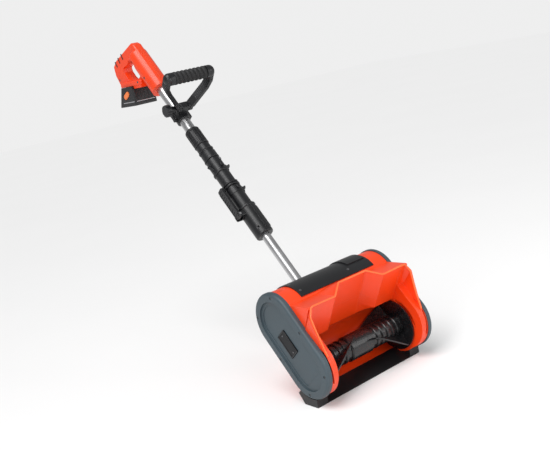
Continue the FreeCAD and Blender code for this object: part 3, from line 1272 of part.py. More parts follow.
def make_pack():
    body = pack_body().cut(pack_room())
    wells = []
    for sign in (-1, 1):
        wells.append(oval(sign * (PACK_HALF - PACK_SKIN - 1), sign * (PACK_HALF + 5), 0.4))
        wells.append(oval(sign * (PACK_HALF - 1.2), sign * (PACK_HALF + 5), 2.6))
    body = body.cut(wells)
    seam = box(-99, 99, -99, 399, PACK_BOTTOM - 9, PACK_SPLIT)
    rail = box(-NECK_HALF, NECK_HALF, PACK_NOTCH, PACK_BACK, PACK_TOP - PACK_SKIN,
               FOOT_FLOOR + RAIL_LIP + 1)
    rail = rail.fuse(box(-RAIL_HALF, RAIL_HALF, PACK_NOTCH, PACK_BACK, FOOT_FLOOR + RAIL_LIP + MOVE,
                         FOOT_FLOOR + RAIL_DEPTH - MOVE))
    upper = body.cut(seam).fuse(rail)
    slots = [box(x - 1.0, x + 1.0, PACK_NOTCH - 1, PACK_NOTCH + 10.5, FOOT_FLOOR + 1.5,
                 FOOT_FLOOR + 7.5) for x in CONTACT_X]
    clips = [box(x - 3, x + 3, PACK_NOTCH + 10.5, PACK_NOTCH + 22, FOOT_FLOOR - 1.5,
                 FOOT_FLOOR + 7) for x in CONTACT_X]
    upper = upper.cut(slots + clips)
    window = box(-14, 14, PACK_FRONT, PACK_FRONT + 190, -4, 6)
    display = window.common(leaning_slab(1.6))
    upper = upper.cut(display)
    save("pack_upper_case", upper, HANDLE)
    save("pack_lower_case", body.common(seam), HANDLE)
    save("charge_display", display, HANDLE)
    for sign, name in ((-1, "pack_button_left"), (1, "pack_button_right")):
        button = oval(sign * (PACK_HALF - 2.8), sign * (PACK_HALF + 1.6), 0.0)
        button = button.makeFillet(1.0, edges_at(button, sign * (PACK_HALF + 1.6)))
        save(name, button, HANDLE)
    cells = []
    for k in range(5):
        back = PACK_FRONT + PACK_SKIN + CELL_PITCH * (k + 0.5)
        rise = PACK_BOTTOM + PACK_SKIN + CELL_RADIUS
        cells.append(rod(CELL_RADIUS, V(-PACK_HALF + 3.5, back, rise), V(PACK_HALF - 3.5, back, rise)))
    save("pack_cells", Part.makeCompound(cells), HANDLE)
    save("pack_terminals", Part.makeCompound(clips), HANDLE)


def leaning_slab(depth):
    """A thin layer just under the pack's leaning back face."""
    top = PACK_TOP
    low = PACK_BOTTOM + 6
    outline = [(pack_back(top), top), (pack_back(low), low), (pack_back(low) - depth, low),
               (pack_back(top) - depth, top)]
    return side_prism(outline, PACK_HALF)


HOUSING = make_housing()
make_covers(HOUSING)
make_top(HOUSING)
make_base(HOUSING)
make_drive()
make_pole()
make_loop_handle()
make_handle()
make_pack()
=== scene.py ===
"""Looks for the cordless snow shovel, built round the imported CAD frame. Metres, same frame as the CAD."""

import bpy
import bmesh
import json
import math
from mathutils import Matrix, Vector


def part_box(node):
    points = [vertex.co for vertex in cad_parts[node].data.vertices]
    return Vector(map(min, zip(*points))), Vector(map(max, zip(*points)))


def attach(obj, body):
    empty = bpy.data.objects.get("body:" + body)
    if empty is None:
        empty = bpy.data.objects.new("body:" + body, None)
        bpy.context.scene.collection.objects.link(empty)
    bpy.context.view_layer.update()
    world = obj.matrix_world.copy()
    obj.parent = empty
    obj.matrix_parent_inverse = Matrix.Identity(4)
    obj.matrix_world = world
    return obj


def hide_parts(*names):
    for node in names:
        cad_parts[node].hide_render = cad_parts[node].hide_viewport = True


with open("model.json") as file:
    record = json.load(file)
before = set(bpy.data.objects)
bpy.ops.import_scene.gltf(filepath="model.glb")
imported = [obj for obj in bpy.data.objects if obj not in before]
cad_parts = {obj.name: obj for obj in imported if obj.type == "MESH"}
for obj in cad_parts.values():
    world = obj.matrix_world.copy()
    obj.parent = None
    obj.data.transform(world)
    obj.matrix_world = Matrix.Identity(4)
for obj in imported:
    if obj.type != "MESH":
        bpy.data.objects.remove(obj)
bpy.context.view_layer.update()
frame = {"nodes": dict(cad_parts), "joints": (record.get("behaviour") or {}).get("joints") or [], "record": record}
NODES = frame["nodes"]
RECORD = frame["record"]
MM = 0.001


# ------------------------------------------------------------------ materials
class Graph:
    """A small helper that adds nodes to one material and links them."""

    def __init__(self, name):
        self.material = bpy.data.materials.new(name)
        self.material.use_nodes = True
        self.tree = self.material.node_tree
        self.shader = self.tree.nodes["Principled BSDF"]
        coords = self.add("ShaderNodeTexCoord")
        self.place = coords.outputs["Object"]

    def add(self, kind, **values):
        node = self.tree.nodes.new(kind)
        for key, value in values.items():
            if hasattr(node, key):
                setattr(node, key, value)
            else:
                node.inputs[key].default_value = value
        return node

    def link(self, a, b):
        self.tree.links.new(a, b)

    def stretched(self, scale):
        mapping = self.add("ShaderNodeMapping")
        mapping.inputs["Scale"].default_value = scale
        self.link(self.place, mapping.inputs["Vector"])
        return mapping.outputs["Vector"]

    def noise(self, scale, detail=3.0, roughness=0.5, vector=None):
        node = self.add("ShaderNodeTexNoise")
        node.inputs["Scale"].default_value = scale
        node.inputs["Detail"].default_value = detail
        node.inputs["Roughness"].default_value = roughness
        self.link(vector or self.place, node.inputs["Vector"])
        return node.outputs["Fac"]

    def remap(self, value, from_low, from_high, to_low, to_high):
        node = self.add("ShaderNodeMapRange")
        limits = {"From Min": from_low, "From Max": from_high, "To Min": to_low, "To Max": to_high}
        for key, number in limits.items():
            node.inputs[key].default_value = number
        self.link(value, node.inputs["Value"])
        return node.outputs["Result"]

    def mix(self, factor, first, second):
        """Mix two colours or colour outputs."""
        node = self.add("ShaderNodeMix", data_type="RGBA")
        self.link(factor, node.inputs["Factor"])
        for socket, value in ((node.inputs[6], first), (node.inputs[7], second)):
            if isinstance(value, tuple):
                socket.default_value = (*value, 1.0)
            else:
                self.link(value, socket)
        return node.outputs[2]

    def math(self, operation, first, second):
        node = self.add("ShaderNodeMath", operation=operation)
        for socket, value in ((node.inputs[0], first), (node.inputs[1], second)):
            if isinstance(value, (int, float)):
                socket.default_value = value
            else:
                self.link(value, socket)
        return node.outputs[0]

    def bump(self, height, strength, distance, normal=None):
        node = self.add("ShaderNodeBump")
        node.inputs["Strength"].default_value = strength
        node.inputs["Distance"].default_value = distance
        self.link(height, node.inputs["Height"])
        if normal is not None:
            self.link(normal, node.inputs["Normal"])
        return node.outputs["Normal"]

    def soft_edge(self, radius):
        """Normals rounded over the sharp edges, and how near to an edge a point is."""
        bevel = self.add("ShaderNodeBevel", samples=4)
        bevel.inputs["Radius"].default_value = radius
        geometry = self.add("ShaderNodeNewGeometry")
        dot = self.add("ShaderNodeVectorMath", operation="DOT_PRODUCT")
        self.link(bevel.outputs["Normal"], dot.inputs[0])
        self.link(geometry.outputs["Normal"], dot.inputs[1])
        return bevel.outputs["Normal"], self.remap(dot.outputs["Value"], 0.99, 0.86, 0.0, 1.0)


# noise scales, in waves a metre, and how far scratches are drawn out along X, Y and Z
BROAD_SCALE = 9.0
EDGE_PATCH_SCALE = 42.0
STREAK_SCALE = 60.0
STREAK_STRETCH = (1.0, 7.0, 0.5)
STAIN_SCALE = 22.0
# gloss of a clear coat, and how far metal edges are rounded, in metres
COAT_ROUGHNESS = 0.18
METAL_EDGE = 0.0004


def moulded(name, colour, worn_and_highlight, rough, grain, grain_depth=0.00012, edge=0.0007, coat=0.0, mottle=0.12,
            scratch=0.25):
    """Moulded plastic: fine spark-eroded grain, slight mottling, scuffs, and lighter edges that are partly wear
    and partly a painted edge highlight.

    rough is the lowest and highest roughness, grain the grain's scale, and grain_depth and edge are in metres.
    """
    g = Graph(name)
    normal, near_edge = g.soft_edge(edge)
    broad = g.noise(BROAD_SCALE, 4.0)
    fine = g.noise(grain, 2.0)
    speck = g.noise(grain * 0.31, 5.0, 0.7)
    darker = tuple(c * (1.0 - mottle) for c in colour)
    lighter = tuple(min(1.0, c * (1.0 + mottle * 0.7)) for c in colour)
    tone = g.mix(g.remap(broad, 0.35, 0.65, 0.0, 1.0), darker, lighter)
    # lighter patchy edges in the worn colour: partly wear, partly a painted edge highlight
    edge_patches = g.noise(EDGE_PATCH_SCALE, 6.0, 0.75)
    edge_wear_and_highlight = g.math("MULTIPLY", near_edge, g.remap(edge_patches, 0.42, 0.7, 0.0, 0.55))
    streaks = g.noise(STREAK_SCALE, 5.0, 0.7, g.stretched(STREAK_STRETCH))
    scuff = g.remap(streaks, 0.66, 0.74, 0.0, scratch)
    tone = g.mix(g.math("MAXIMUM", edge_wear_and_highlight, g.math("MULTIPLY", scuff, 0.35)), tone, worn_and_highlight)
    g.link(tone, g.shader.inputs["Base Color"])
    uneven = g.remap(g.math("ADD", broad, speck), 0.7, 1.3, rough[0], rough[1])
    g.link(g.math("ADD", uneven, scuff), g.shader.inputs["Roughness"])
    normal = g.bump(fine, 0.55, grain_depth, normal)
    normal = g.bump(broad, 0.25, 0.0006, normal)
    g.link(normal, g.shader.inputs["Normal"])
    g.shader.inputs["Coat Weight"].default_value = coat
    g.shader.inputs["Coat Roughness"].default_value = COAT_ROUGHNESS
    return g.material


def metal(name, colour, rough, brush_scale, brush):
    """Turned or drawn metal: fine lines along one way, with stains and small scratches."""
    g = Graph(name)
    normal, near_edge = g.soft_edge(METAL_EDGE)
    lines = g.noise(brush_scale, 4.0, 0.6, g.stretched(brush))
    stain = g.noise(STAIN_SCALE, 5.0, 0.6)
    darker = tuple(c * 0.82 for c in colour)
    tone = g.mix(g.remap(stain, 0.35, 0.7, 0.0, 1.0), darker, colour)
    tone = g.mix(g.math("MULTIPLY", near_edge, 0.5), tone, tuple(min(1.0, c * 1.25) for c in colour))
    g.link(tone, g.shader.inputs["Base Color"])
    g.link(g.remap(g.math("ADD", lines, stain), 0.6, 1.4, rough[0], rough[1]), g.shader.inputs["Roughness"])
    g.link(g.bump(lines, 0.3, 0.00008, normal), g.shader.inputs["Normal"])
    g.shader.inputs["Metallic"].default_value = 1.0
    return g.material


ORANGE = (0.86, 0.050, 0.003)
# lighter orange for scuffs and edges: partly wear, partly a painted edge highlight
ORANGE_WORN_AND_HIGHLIGHT = (1.0, 0.26, 0.09)
MATERIALS = {
    "orange_shell": moulded("orange_shell", ORANGE, ORANGE_WORN_AND_HIGHLIGHT, (0.30, 0.46),
                            1500.0, 0.00007, 0.0012, 0.12, 0.06),
    "grey_cover": moulded("grey_cover", (0.046, 0.068, 0.082), (0.22, 0.25, 0.27), (0.40, 0.58), 1300.0),
    "black_moulding": moulded("black_moulding", (0.006, 0.0065, 0.008), (0.07, 0.07, 0.08),
                              (0.28, 0.46), 1500.0),
    "black_scraper": moulded("black_scraper", (0.008, 0.008, 0.009), (0.12, 0.12, 0.12),
                             (0.36, 0.56), 900.0, scratch=0.4),
    "black_auger": moulded("black_auger", (0.006, 0.006, 0.007), (0.08, 0.08, 0.08),
                           (0.20, 0.36), 1100.0, coat=0.2),
    "soft_rubber": moulded("soft_rubber", (0.007, 0.007, 0.008), (0.07, 0.07, 0.07),
                           (0.55, 0.75), 1900.0, 0.0002),
    "belt_rubber": moulded("belt_rubber", (0.012, 0.012, 0.012), (0.05, 0.05, 0.05), (0.6, 0.8), 1200.0),
    "pulley_plastic": moulded("pulley_plastic", (0.05, 0.05, 0.05), (0.2, 0.2, 0.2), (0.4, 0.6), 1200.0),
    "board_green": moulded("board_green", (0.01, 0.09, 0.03), (0.1, 0.3, 0.1), (0.25, 0.4), 700.0),
    "pack_black": moulded("pack_black", (0.006, 0.006, 0.008), (0.10, 0.10, 0.11), (0.35, 0.55), 1500.0),
    "pack_orange": moulded("pack_orange", (0.90, 0.22, 0.05), (1.0, 0.5, 0.3), (0.35, 0.5), 1600.0),
    # pale grey for the line round the battery: a painted highlight stripe
    "pack_line": moulded("pack_line", (0.42, 0.42, 0.44), (0.5, 0.5, 0.5), (0.4, 0.5), 1600.0),
    "display_lens": moulded("display_lens", (0.05, 0.006, 0.006), (0.2, 0.1, 0.1),
                            (0.08, 0.18), 300.0, coat=0.6),
    "cell_wrap": moulded("cell_wrap", (0.02, 0.10, 0.28), (0.1, 0.3, 0.5), (0.2, 0.35), 500.0),
    "pole_aluminium": metal("pole_aluminium", (0.56, 0.56, 0.57), (0.26, 0.40), 420.0, (3.0, 1.0, 1.0)),
    "steel": metal("steel", (0.55, 0.55, 0.56), (0.25, 0.45), 420.0, (0.1, 1.0, 1.0)),
    "rib_black": moulded("rib_black", (0.035, 0.036, 0.04), (0.14, 0.14, 0.15), (0.25, 0.4), 1500.0),
    # a lighter orange than the shell's: a painted highlight along the hood's rolled lip
    "rim_orange_highlight": moulded("rim_orange_highlight", (0.98, 0.15, 0.035),
                          ORANGE_WORN_AND_HIGHLIGHT, (0.3, 0.45), 1500.0, 0.00007, 0.0006),
    "screw_steel": metal("screw_steel", (0.22, 0.22, 0.23), (0.35, 0.6), 300.0, (1.0, 1.0, 1.0)),
    "spring_steel": metal("spring_steel", (0.5, 0.5, 0.5), (0.2, 0.35), 420.0, (1.0, 1.0, 1.0)),
    "motor_can": metal("motor_can", (0.35, 0.35, 0.36), (0.3, 0.5), 380.0, (0.1, 1.0, 1.0)),
    "plate_metal": metal("plate_metal", (0.035, 0.036, 0.038), (0.3, 0.5), 500.0, (1.0, 0.15, 0.15)),
    "contact_brass": metal("contact_brass", (0.62, 0.42, 0.14), (0.25, 0.4), 300.0, (1.0, 1.0, 1.0)),
}

for row in RECORD["subparts"]:
    target = NODES[row["node"]]
    target.data.materials.clear()
    target.data.materials.append(MATERIALS[row["material_slot"]])


# ------------------------------------------------------------------ frames for the added pieces
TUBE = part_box("upper_tube")
JOINTS = {row["name"]: row for row in frame["joints"]}
SIDE = Vector((1.0, 0.0, 0.0))
ALONG = -Vector(JOINTS["pole_length"]["axis"]).normalized()
BACK = -SIDE.cross(ALONG)
TUBE_MIDDLE = 734.25          # the upper tube's middle, in mm along the pole
TUBE_CENTRE = (Vector(TUBE[0]) + Vector(TUBE[1])) / 2


def pole(x, back, along):
    """A point in mm beside the pole, as a place in the room: side, back and along."""
    return TUBE_CENTRE + SIDE * (x * MM) + BACK * (back * MM) + ALONG * ((along - TUBE_MIDDLE) * MM)


def piece(name, body, slot, bm, bevel=0.0, segments=3):
    """Turns mesh code into an object that rides on a body, with softened edges."""
    data = bpy.data.meshes.new(name)
    bmesh.ops.remove_doubles(bm, verts=bm.verts, dist=1e-6)
    bmesh.ops.recalc_face_normals(bm, faces=bm.faces)
    bm.to_mesh(data)
    bm.free()
    for polygon in data.polygons:
        polygon.use_smooth = True
    thing = bpy.data.objects.new(name, data)
    bpy.context.scene.collection.objects.link(thing)
    data.materials.append(MATERIALS[slot])
    if bevel > 0:
        soften = thing.modifiers.new("soften", "BEVEL")
        soften.width = bevel
        soften.segments = segments
        soften.limit_method = "ANGLE"
        soften.harden_normals = True
    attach(thing, body)
    return thing


def add_slab(bm, corners, push):
    """A solid from a flat outline and a push."""
    low = [bm.verts.new(c) for c in corners]
    high = [bm.verts.new(c + push) for c in corners]
    count = len(corners)
    bm.faces.new(low[::-1])
    bm.faces.new(high)
    for k in range(count):
        bm.faces.new((low[k], low[(k + 1) % count], high[(k + 1) % count], high[k]))


def add_block(bm, centre, u, v, w):
    """A block from its centre and three half edges."""
    add_slab(bm, [centre - u - v - w, centre + u - v - w, centre + u + v - w, centre - u + v - w], w * 2)


def add_lathe(bm, centre, axis, start, profile, steps=64):
    """A ring from a closed outline of (distance along the axis, radius), in mm."""
    across = axis.cross(start)
    rings = []
    for k in range(steps):
        turn = 2 * math.pi * k / steps
        out = start * math.cos(turn) + across * math.sin(turn)
        rings.append([bm.verts.new(centre + axis * (a * MM) + out * (r * MM)) for a, r in profile])
    count = len(profile)
    for k in range(steps):
        a = rings[k]
        b = rings[(k + 1) % steps]
        for j in range(count):
            n = (j + 1) % count
            bm.faces.new((a[j], b[j], b[n], a[n]))


def around(angle):
    """The direction out of the pole at an angle from its front, towards +X."""
    turn = math.radians(angle)
    return -BACK * math.cos(turn) + SIDE * math.sin(turn)


def add_rib(bm, angle, along, radius, half):
    """A rib on the pole at an angle, from its half sizes in mm: outward, round the pole and along it."""
    out = around(angle)
    across = ALONG.cross(out)
    add_block(bm, pole(0, 0, along) + out * (radius * MM), out * (half[0] * MM), across * (half[1] * MM),
              ALONG * (half[2] * MM))


# ------------------------------------------------------------------ coupler
def band_profile(radius, inner, half):
    """A rounded ring's outline, centred on 0."""
    lift = radius - inner
    return [(-half, inner), (-half * 0.85, inner + lift * 0.6), (-half * 0.5, radius),
            (half * 0.5, radius), (half * 0.85, inner + lift * 0.6), (half, inner)]


# each ring on the coupler: its place along the pole, outer radius, inner radius and half width
BANDS = [(474.0, 26.6, 23.5, 4.5), (548.0, 24.8, 21.0, 3.0), (556.0, 24.2, 21.0, 2.5),
         (601.0, 23.6, 20.0, 4.0), (650.0, 22.6, 18.2, 2.6), (681.0, 22.2, 18.2, 2.4),
         (705.0, 21.8, 17.8, 3.6), (754.0, 21.2, 18.5, 3.4)]


def coupler_bands():
    bm = bmesh.new()
    for along, radius, inner, half in BANDS:
        add_lathe(bm, pole(0, 0, along), ALONG, -BACK, band_profile(radius, inner, half))
    piece("coupler_bands", "upper_pole", "black_moulding", bm)


FACETS = 14
FACET_START = 8.0
FACET_ANGLES = [360.0 / FACETS * k + FACET_START for k in range(FACETS)]
# each group of ribs: its angles, place along the pole, radius, and the half sizes of a rib
SLEEVE_RIBS = [(FACET_ANGLES, 730.5, 20.1, (1.2, 2.9, 20.0)),
               ((38.0, 56.0, 74.0, 92.0, 110.0), 430.0, 25.3, (1.3, 1.5, 34.0)),
               ((-46.0, -30.0, 60.0, 76.0), 666.0, 20.8, (1.1, 1.6, 8.5))]


def coupler_ribs():
    """Facets round the top sleeve, ribs down the right of the lowest one, and ribs on the middle one."""
    bm = bmesh.new()
    for angles, along, radius, half in SLEEVE_RIBS:
        for angle in angles:
            add_rib(bm, angle, along, radius, half)
    piece("coupler_ribs", "upper_pole", "black_moulding", bm, 0.0006)


# each cord hook: its place along the pole, its angle and the sleeve's radius there
HOOKS = [(606.0, 68.0, 20.0), (528.0, 70.0, 21.5), (622.0, -78.0, 20.0)]
HOOK_WIDTH = 9.0
# a hook's outline: along the pole, and above the sleeve
HOOK_OUTLINE = [(-10.0, -3.0), (-10.0, 2.5), (-3.0, 4.0), (1.0, 10.0), (5.0, 11.5),
                (7.0, 9.5), (6.0, 4.0), (11.0, 2.0), (11.0, -3.0)]


def coupler_hooks():
    """Cord hooks that stand out of the sleeves."""
    bm = bmesh.new()
    for along, angle, root in HOOKS:
        out = around(angle)
        across = ALONG.cross(out) * (HOOK_WIDTH * MM)
        base = pole(0, 0, along) - across / 2
        corners = [base + ALONG * (a * MM) + out * ((root + rise) * MM) for a, rise in HOOK_OUTLINE]
        add_slab(bm, corners, across)
    piece("coupler_hooks", "upper_pole", "black_moulding", bm, 0.0011)


BUTTON_ANGLE = 34.0
BUTTON_ALONG = 637.0
BUTTON_RING = [(19.0, 0.6), (19.0, 5.6), (21.2, 5.6), (22.0, 4.9), (21.9, 0.6)]
BUTTON_HEAD = [(19.0, 0.05), (19.0, 3.8), (22.6, 3.8), (23.4, 2.9), (23.8, 0.05)]


def coupler_button():
    """The small spring button that clicks the sleeves together, in its ring."""
    bm = bmesh.new()
    out = around(BUTTON_ANGLE)
    centre = pole(0, 0, BUTTON_ALONG)
    add_lathe(bm, centre, out, ALONG, BUTTON_RING, 32)
    piece("coupler_button_ring", "upper_pole", "black_moulding", bm)
    bm = bmesh.new()
    add_lathe(bm, centre, out, ALONG, BUTTON_HEAD, 32)
    piece("coupler_button", "upper_pole", "screw_steel", bm)


LEVER_RAIL = (-41.2, 8.2, 500.0)
LEVER_RIDGE = (-41.0, 0.0, 466.0)
RIDGE_SPACING = 9.0


def lever_ridges():
    """Thumb ridges and side rails on the lock lever."""
    bm = bmesh.new()
    out = -SIDE
    for sign in (-1, 1):
        centre = pole(LEVER_RAIL[0], sign * LEVER_RAIL[1], LEVER_RAIL[2])
        add_block(bm, centre, out * (1.1 * MM), BACK * (1.3 * MM), ALONG * (42.0 * MM))
    for k in range(3):
        centre = pole(LEVER_RIDGE[0], LEVER_RIDGE[1], LEVER_RIDGE[2] + RIDGE_SPACING * k)
        add_block(bm, centre, out * (1.2 * MM), BACK * (7.0 * MM), ALONG * (1.8 * MM))
    piece("lever_ridges", "pole_lever", "black_moulding", bm, 0.0006)


# ------------------------------------------------------------------ loop handle
CLAMP_ALONG = 820.0
RIB_SPACING = 5.2
LEG_FACE = 5.6
# the legs' middle line: side, back and along from the clamp
LEGS = [(34.0, -59.0, 3.0), (60.0, -93.0, 10.0), (70.0, -111.0, 16.0), (70.0, -128.0, 20.0)]


def loop_ribs():
    """Fine ribs across both faces of the legs."""
    bm = bmesh.new()
    for sign in (-1, 1):
        for first, second in zip(LEGS[:-1], LEGS[1:]):
            a = pole(sign * first[0], first[1], CLAMP_ALONG + first[2])
            b = pole(sign * second[0], second[1], CLAMP_ALONG + second[2])
            run = b - a
            count = max(2, int(run.length / (RIB_SPACING * MM)))
            flat = (run - ALONG * run.dot(ALONG)).normalized()
            across = flat.cross(ALONG)
            for k in range(count):
                centre = a + run * ((k + 0.5) / count)
                for face in (-1, 1):
                    add_block(bm, centre + across * (face * LEG_FACE * MM), across * (0.9 * MM),
                              flat * (0.8 * MM), ALONG * (9.6 * MM))
    ribs = piece("loop_ribs", "loop_handle", "black_moulding", bm, 0.0004, 2)
    ribs.data.materials[0] = MATERIALS["rib_black"]


SLEEVE_RIB_COUNT = 8
SLEEVE_SAMPLES = 12           # points to a rib along the sleeve
SLEEVE_END_RADIUS = 13.2
SLEEVE_ROOT_RADIUS = 13.6
SLEEVE_RIB_HEIGHT = 3.9
SLEEVE_RIB_POWER = 0.7        # below 1 the ribs are fatter than a sine wave


def grip_sleeve():
    """The rubber sleeve on the cross bar, with fat rounded ribs."""
    bm = bmesh.new()
    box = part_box("cross_grip")
    half = (box[1][0] - box[0][0]) / 2 / MM
    centre = (Vector(box[0]) + Vector(box[1])) / 2
    steps = SLEEVE_RIB_COUNT * SLEEVE_SAMPLES
    outline = [(-half, SLEEVE_END_RADIUS)]
    for k in range(steps + 1):
        share = k / SLEEVE_SAMPLES % 1.0
        crest = math.sin(math.pi * share) ** SLEEVE_RIB_POWER if share > 0.0 else 0.0
        outline.append((-half + 2 * half * k / steps, SLEEVE_ROOT_RADIUS + SLEEVE_RIB_HEIGHT * crest))
    outline.append((half, SLEEVE_END_RADIUS))
    add_lathe(bm, centre, SIDE, ALONG, outline, 72)
    sleeve = piece("grip_sleeve", "loop_handle", "soft_rubber", bm)
    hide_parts("cross_grip")


# ------------------------------------------------------------------ head
POLE_BEHIND = 62.0            # the pole's axis behind the level that head pieces are drawn from
RIM_RADIUS = 2.1
# the right half of the hood's edge, from the middle of the lip: side, forward and along the pole
LIP_HALF = [(0.0, 118.0, 119.0), (44.0, 118.0, 119.0), (78.0, 122.0, 91.0), (146.0, 123.5, 91.5),
            (153.0, 123.0, 90.0), (163.0, 114.0, 72.5), (160.5, 99.0, 46.0), (157.5, 86.0, 20.0),
            (155.0, 72.0, -12.0)]


def hood_rim():
    """The rolled edge that runs along the hood's lip and down both wings, in a lighter orange that paints a
    highlight along it.
    """
    line = bpy.data.curves.new("hood_rim", "CURVE")
    line.dimensions = "3D"
    line.bevel_depth = RIM_RADIUS * MM
    line.bevel_resolution = 4
    line.use_fill_caps = True
    places = [(-x, forward, along) for x, forward, along in LIP_HALF[:0:-1]] + LIP_HALF
    spline = line.splines.new("POLY")
    spline.points.add(len(places) - 1)
    for point, (x, forward, along) in zip(spline.points, places):
        point.co = (*pole(x, -forward - POLE_BEHIND, along), 1.0)
    rim = bpy.data.objects.new("hood_rim", line)
    bpy.context.scene.collection.objects.link(rim)
    line.materials.append(MATERIALS["rim_orange_highlight"])
    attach(rim, "chassis")


BORDER_WIDTH = 2.2
BORDER_HALF_DEPTH = 0.9
RIVET_INSET = 7.0
RIVET_OUTLINE = [(-0.4, 0.05), (-0.4, 2.0), (0.5, 1.9), (1.0, 1.2), (1.2, 0.05)]


def plate_frame():
    """A raised border and two rivets round the blank name plate."""
    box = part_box("name_plate")
    centre = (Vector(box[0]) + Vector(box[1])) / 2
    face = box[0][0]
    reach = [(box[1][1] - box[0][1]) / 2, (box[1][2] - box[0][2]) / 2]
    # the plate leans with the pole, so its box's reach in Y and Z gives its own half sizes
    run = ALONG.y
    rise = ALONG.z
    long_half = (reach[1] * rise - reach[0] * run) / (rise * rise - run * run)
    short_half = (reach[0] - long_half * run) / rise
    bm = bmesh.new()
    at = Vector((face, centre.y, centre.z))
    half_width = BORDER_WIDTH * MM / 2
    lift = SIDE * (BORDER_HALF_DEPTH * MM)
    for sign in (-1, 1):
        long_side = at + BACK * (sign * (short_half - half_width))
        add_block(bm, long_side, BACK * half_width, ALONG * long_half, lift)
        short_side = at + ALONG * (sign * (long_half - half_width))
        add_block(bm, short_side, BACK * short_half, ALONG * half_width, lift)
    piece("plate_border", "chassis", "black_moulding", bm, 0.0005)
    bm = bmesh.new()
    for sign in (-1, 1):
        place = at + ALONG * (sign * (long_half - RIVET_INSET * MM))
        add_lathe(bm, place, -SIDE, ALONG, RIVET_OUTLINE, 24)
    piece("plate_rivets", "chassis", "screw_steel", bm)


# ------------------------------------------------------------------ battery and rear handle
HIGHLIGHT_STRIPE_DROP = 4.5             # the pale line below the joint between the battery's two cases
HIGHLIGHT_STRIPE_HALF_HEIGHT = 1.0
PACK_RIB_HALF_HEIGHT = 9.0
PACK_RIB_SIDES = (-24.0, -12.0, 0.0, 12.0, 24.0)


def pack_trim():
    """A pale line round the battery that paints a highlight stripe, and the ribs on its front."""
    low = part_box("pack_lower_case")
    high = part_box("pack_upper_case")
    front = low[0][1]
    half = low[1][0]
    bm = bmesh.new()
    # the pale stripe round the battery is a painted highlight
    level = low[1][2] - HIGHLIGHT_STRIPE_DROP * MM
    rise = Vector((0, 0, HIGHLIGHT_STRIPE_HALF_HEIGHT * MM))
    add_block(bm, Vector((0, front, level)), SIDE * (half - 5 * MM), Vector((0, 0.5 * MM, 0)), rise)
    for sign in (-1, 1):
        centre = Vector((sign * half, front + 40 * MM, level))
        add_block(bm, centre, Vector((0.4 * MM, 0, 0)), Vector((0, 34 * MM, 0)), rise)
    piece("pack_highlight_stripe", "battery", "pack_line", bm, 0.0004)
    bm = bmesh.new()
    middle = (low[1][2] + high[1][2]) / 2 - PACK_RIB_HALF_HEIGHT * MM
    rise = Vector((0, 0, PACK_RIB_HALF_HEIGHT * MM))
    for x in PACK_RIB_SIDES:
        add_block(bm, Vector((x * MM, front, middle)), SIDE * (1.3 * MM), Vector((0, 0.8 * MM, 0)), rise)
    piece("pack_ribs", "battery", "pack_black", bm, 0.0005)


HANDLE_ALONG = 925.0
GRIP_SIDE = 15.0
# each finger: its place behind and above the handle's foot, and its lean
FINGERS = [(158.0, 113.0, 0.35), (181.0, 104.5, 0.35), (203.0, 95.0, 0.45)]


def grip_ticks():
    """Soft fingers that reach from the back strip onto each side of the grip."""
    handle = pole(0, 0, HANDLE_ALONG)
    bm = bmesh.new()
    for sign in (-1, 1):
        for back, rise, lean in FINGERS:
            centre = handle + Vector((sign * GRIP_SIDE * MM, back * MM, rise * MM))
            up = Vector((0, math.sin(lean), math.cos(lean)))
            across = Vector((0, math.cos(lean), -math.sin(lean)))
            add_block(bm, centre, SIDE * (0.7 * MM), across * (2.6 * MM), up * (9.0 * MM))
    piece("grip_ticks", "upper_pole", "soft_rubber", bm, 0.0006)


# ------------------------------------------------------------------ studio
WORLD_LIGHT = 0.40            # what the object is lit by
BACKDROP_LIGHT = 0.86         # what shows behind the floor's edge
FLOOR_HALF = 14.0
FLOOR_TONES = ((0.86, 0.86, 0.86), (0.88, 0.88, 0.88))
WHITE = (1.0, 1.0, 1.0, 1.0)


def studio():
    """A pale floor, and a white world that lights the object less than it shows to the camera."""
    corners = [(-FLOOR_HALF, -FLOOR_HALF, 0), (FLOOR_HALF, -FLOOR_HALF, 0),
               (FLOOR_HALF, FLOOR_HALF, 0), (-FLOOR_HALF, FLOOR_HALF, 0)]
    data = bpy.data.meshes.new("floor")
    data.from_pydata(corners, [], [(0, 1, 2, 3)])
    floor = bpy.data.objects.new("floor", data)
    bpy.context.scene.collection.objects.link(floor)
    g = Graph("floor_paper")
    g.link(g.mix(g.noise(1.5), *FLOOR_TONES), g.shader.inputs["Base Color"])
    g.shader.inputs["Roughness"].default_value = 1.0
    g.shader.inputs["Specular IOR Level"].default_value = 0.0
    data.materials.append(g.material)
    world = bpy.data.worlds.new("studio")
    bpy.context.scene.world = world
    world.use_nodes = True
    tree = world.node_tree
    lighting = tree.nodes["Background"]
    lighting.inputs["Color"].default_value = WHITE
    lighting.inputs["Strength"].default_value = WORLD_LIGHT
    backdrop = tree.nodes.new("ShaderNodeBackground")
    backdrop.inputs["Color"].default_value = WHITE
    backdrop.inputs["Strength"].default_value = BACKDROP_LIGHT
    rays = tree.nodes.new("ShaderNodeLightPath")
    pick = tree.nodes.new("ShaderNodeMixShader")
    tree.links.new(rays.outputs["Is Camera Ray"], pick.inputs["Fac"])
    tree.links.new(lighting.outputs["Background"], pick.inputs[1])
    tree.links.new(backdrop.outputs["Background"], pick.inputs[2])
    tree.links.new(pick.outputs["Shader"], tree.nodes["World Output"].inputs["Surface"])


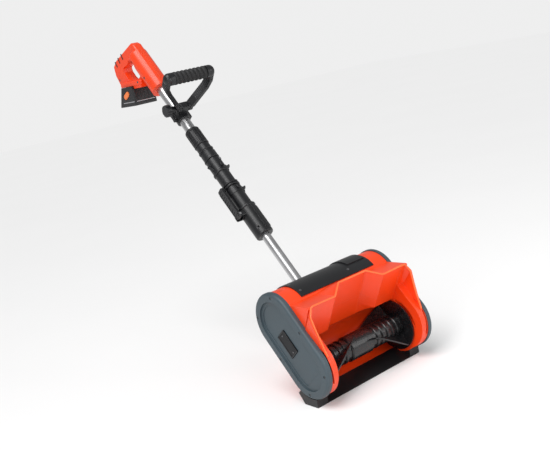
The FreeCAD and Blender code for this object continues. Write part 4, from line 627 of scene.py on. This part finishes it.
def sun_light(name, direction, power, spread):
    """A sun with a wide disc, for soft shadows."""
    data = bpy.data.lights.new(name, "SUN")
    data.energy = power
    data.angle = math.radians(spread)
    light = bpy.data.objects.new(name, data)
    bpy.context.scene.collection.objects.link(light)
    light.rotation_euler = Vector(direction).to_track_quat("-Z", "Y").to_euler()


def area_light(name, place, size, power, aim):
    """A soft box that looks at a point."""
    data = bpy.data.lights.new(name, "AREA")
    data.shape = "RECTANGLE"
    data.size = size[0]
    data.size_y = size[1]
    data.energy = power
    light = bpy.data.objects.new(name, data)
    bpy.context.scene.collection.objects.link(light)
    light.location = Vector(place)
    light.rotation_euler = (Vector(aim) - Vector(place)).to_track_quat("-Z", "Y").to_euler()


CAMERA_PLACE = Vector((-1.2133, -1.4458, 0.8028))
CAMERA_FORWARD = Vector((0.574, 0.7935, -0.2025)).normalized()
CAMERA_UP = Vector((0.285, 0.039, 0.958)).normalized()


LENS = 54.3
SENSOR = 36.0


def camera():
    """The view from the front left, a little above the head."""
    data = bpy.data.cameras.new("camera")
    data.lens = LENS
    data.sensor_width = SENSOR
    data.sensor_fit = "HORIZONTAL"
    data.clip_end = 60.0
    eye = bpy.data.objects.new("camera", data)
    bpy.context.scene.collection.objects.link(eye)
    back = -CAMERA_FORWARD
    right = CAMERA_UP.cross(back).normalized()
    up = back.cross(right)
    turn = Matrix((right, up, back)).transposed().to_4x4()
    eye.matrix_world = Matrix.Translation(CAMERA_PLACE) @ turn
    bpy.context.scene.camera = eye


coupler_bands()
coupler_ribs()
coupler_hooks()
coupler_button()
lever_ridges()
loop_ribs()
grip_sleeve()
hood_rim()
plate_frame()
pack_trim()
grip_ticks()
studio()
sun_light("sky", (0.45, 0.10, -1.0), 1.97, 40.0)
area_light("key", (-2.4, -1.0, 1.9), (0.8, 1.6), 22.0, aim=(0, 0.2, 0.3))
area_light("strip", (1.5, -1.9, 1.2), (0.5, 1.8), 9.0, aim=(0, 0.2, 0.3))
area_light("mouth", (-0.3, -1.5, 0.75), (0.9, 0.5), 8.0, aim=(0, 0.0, 0.10))
camera()
bpy.context.scene.view_settings.view_transform = "Standard"
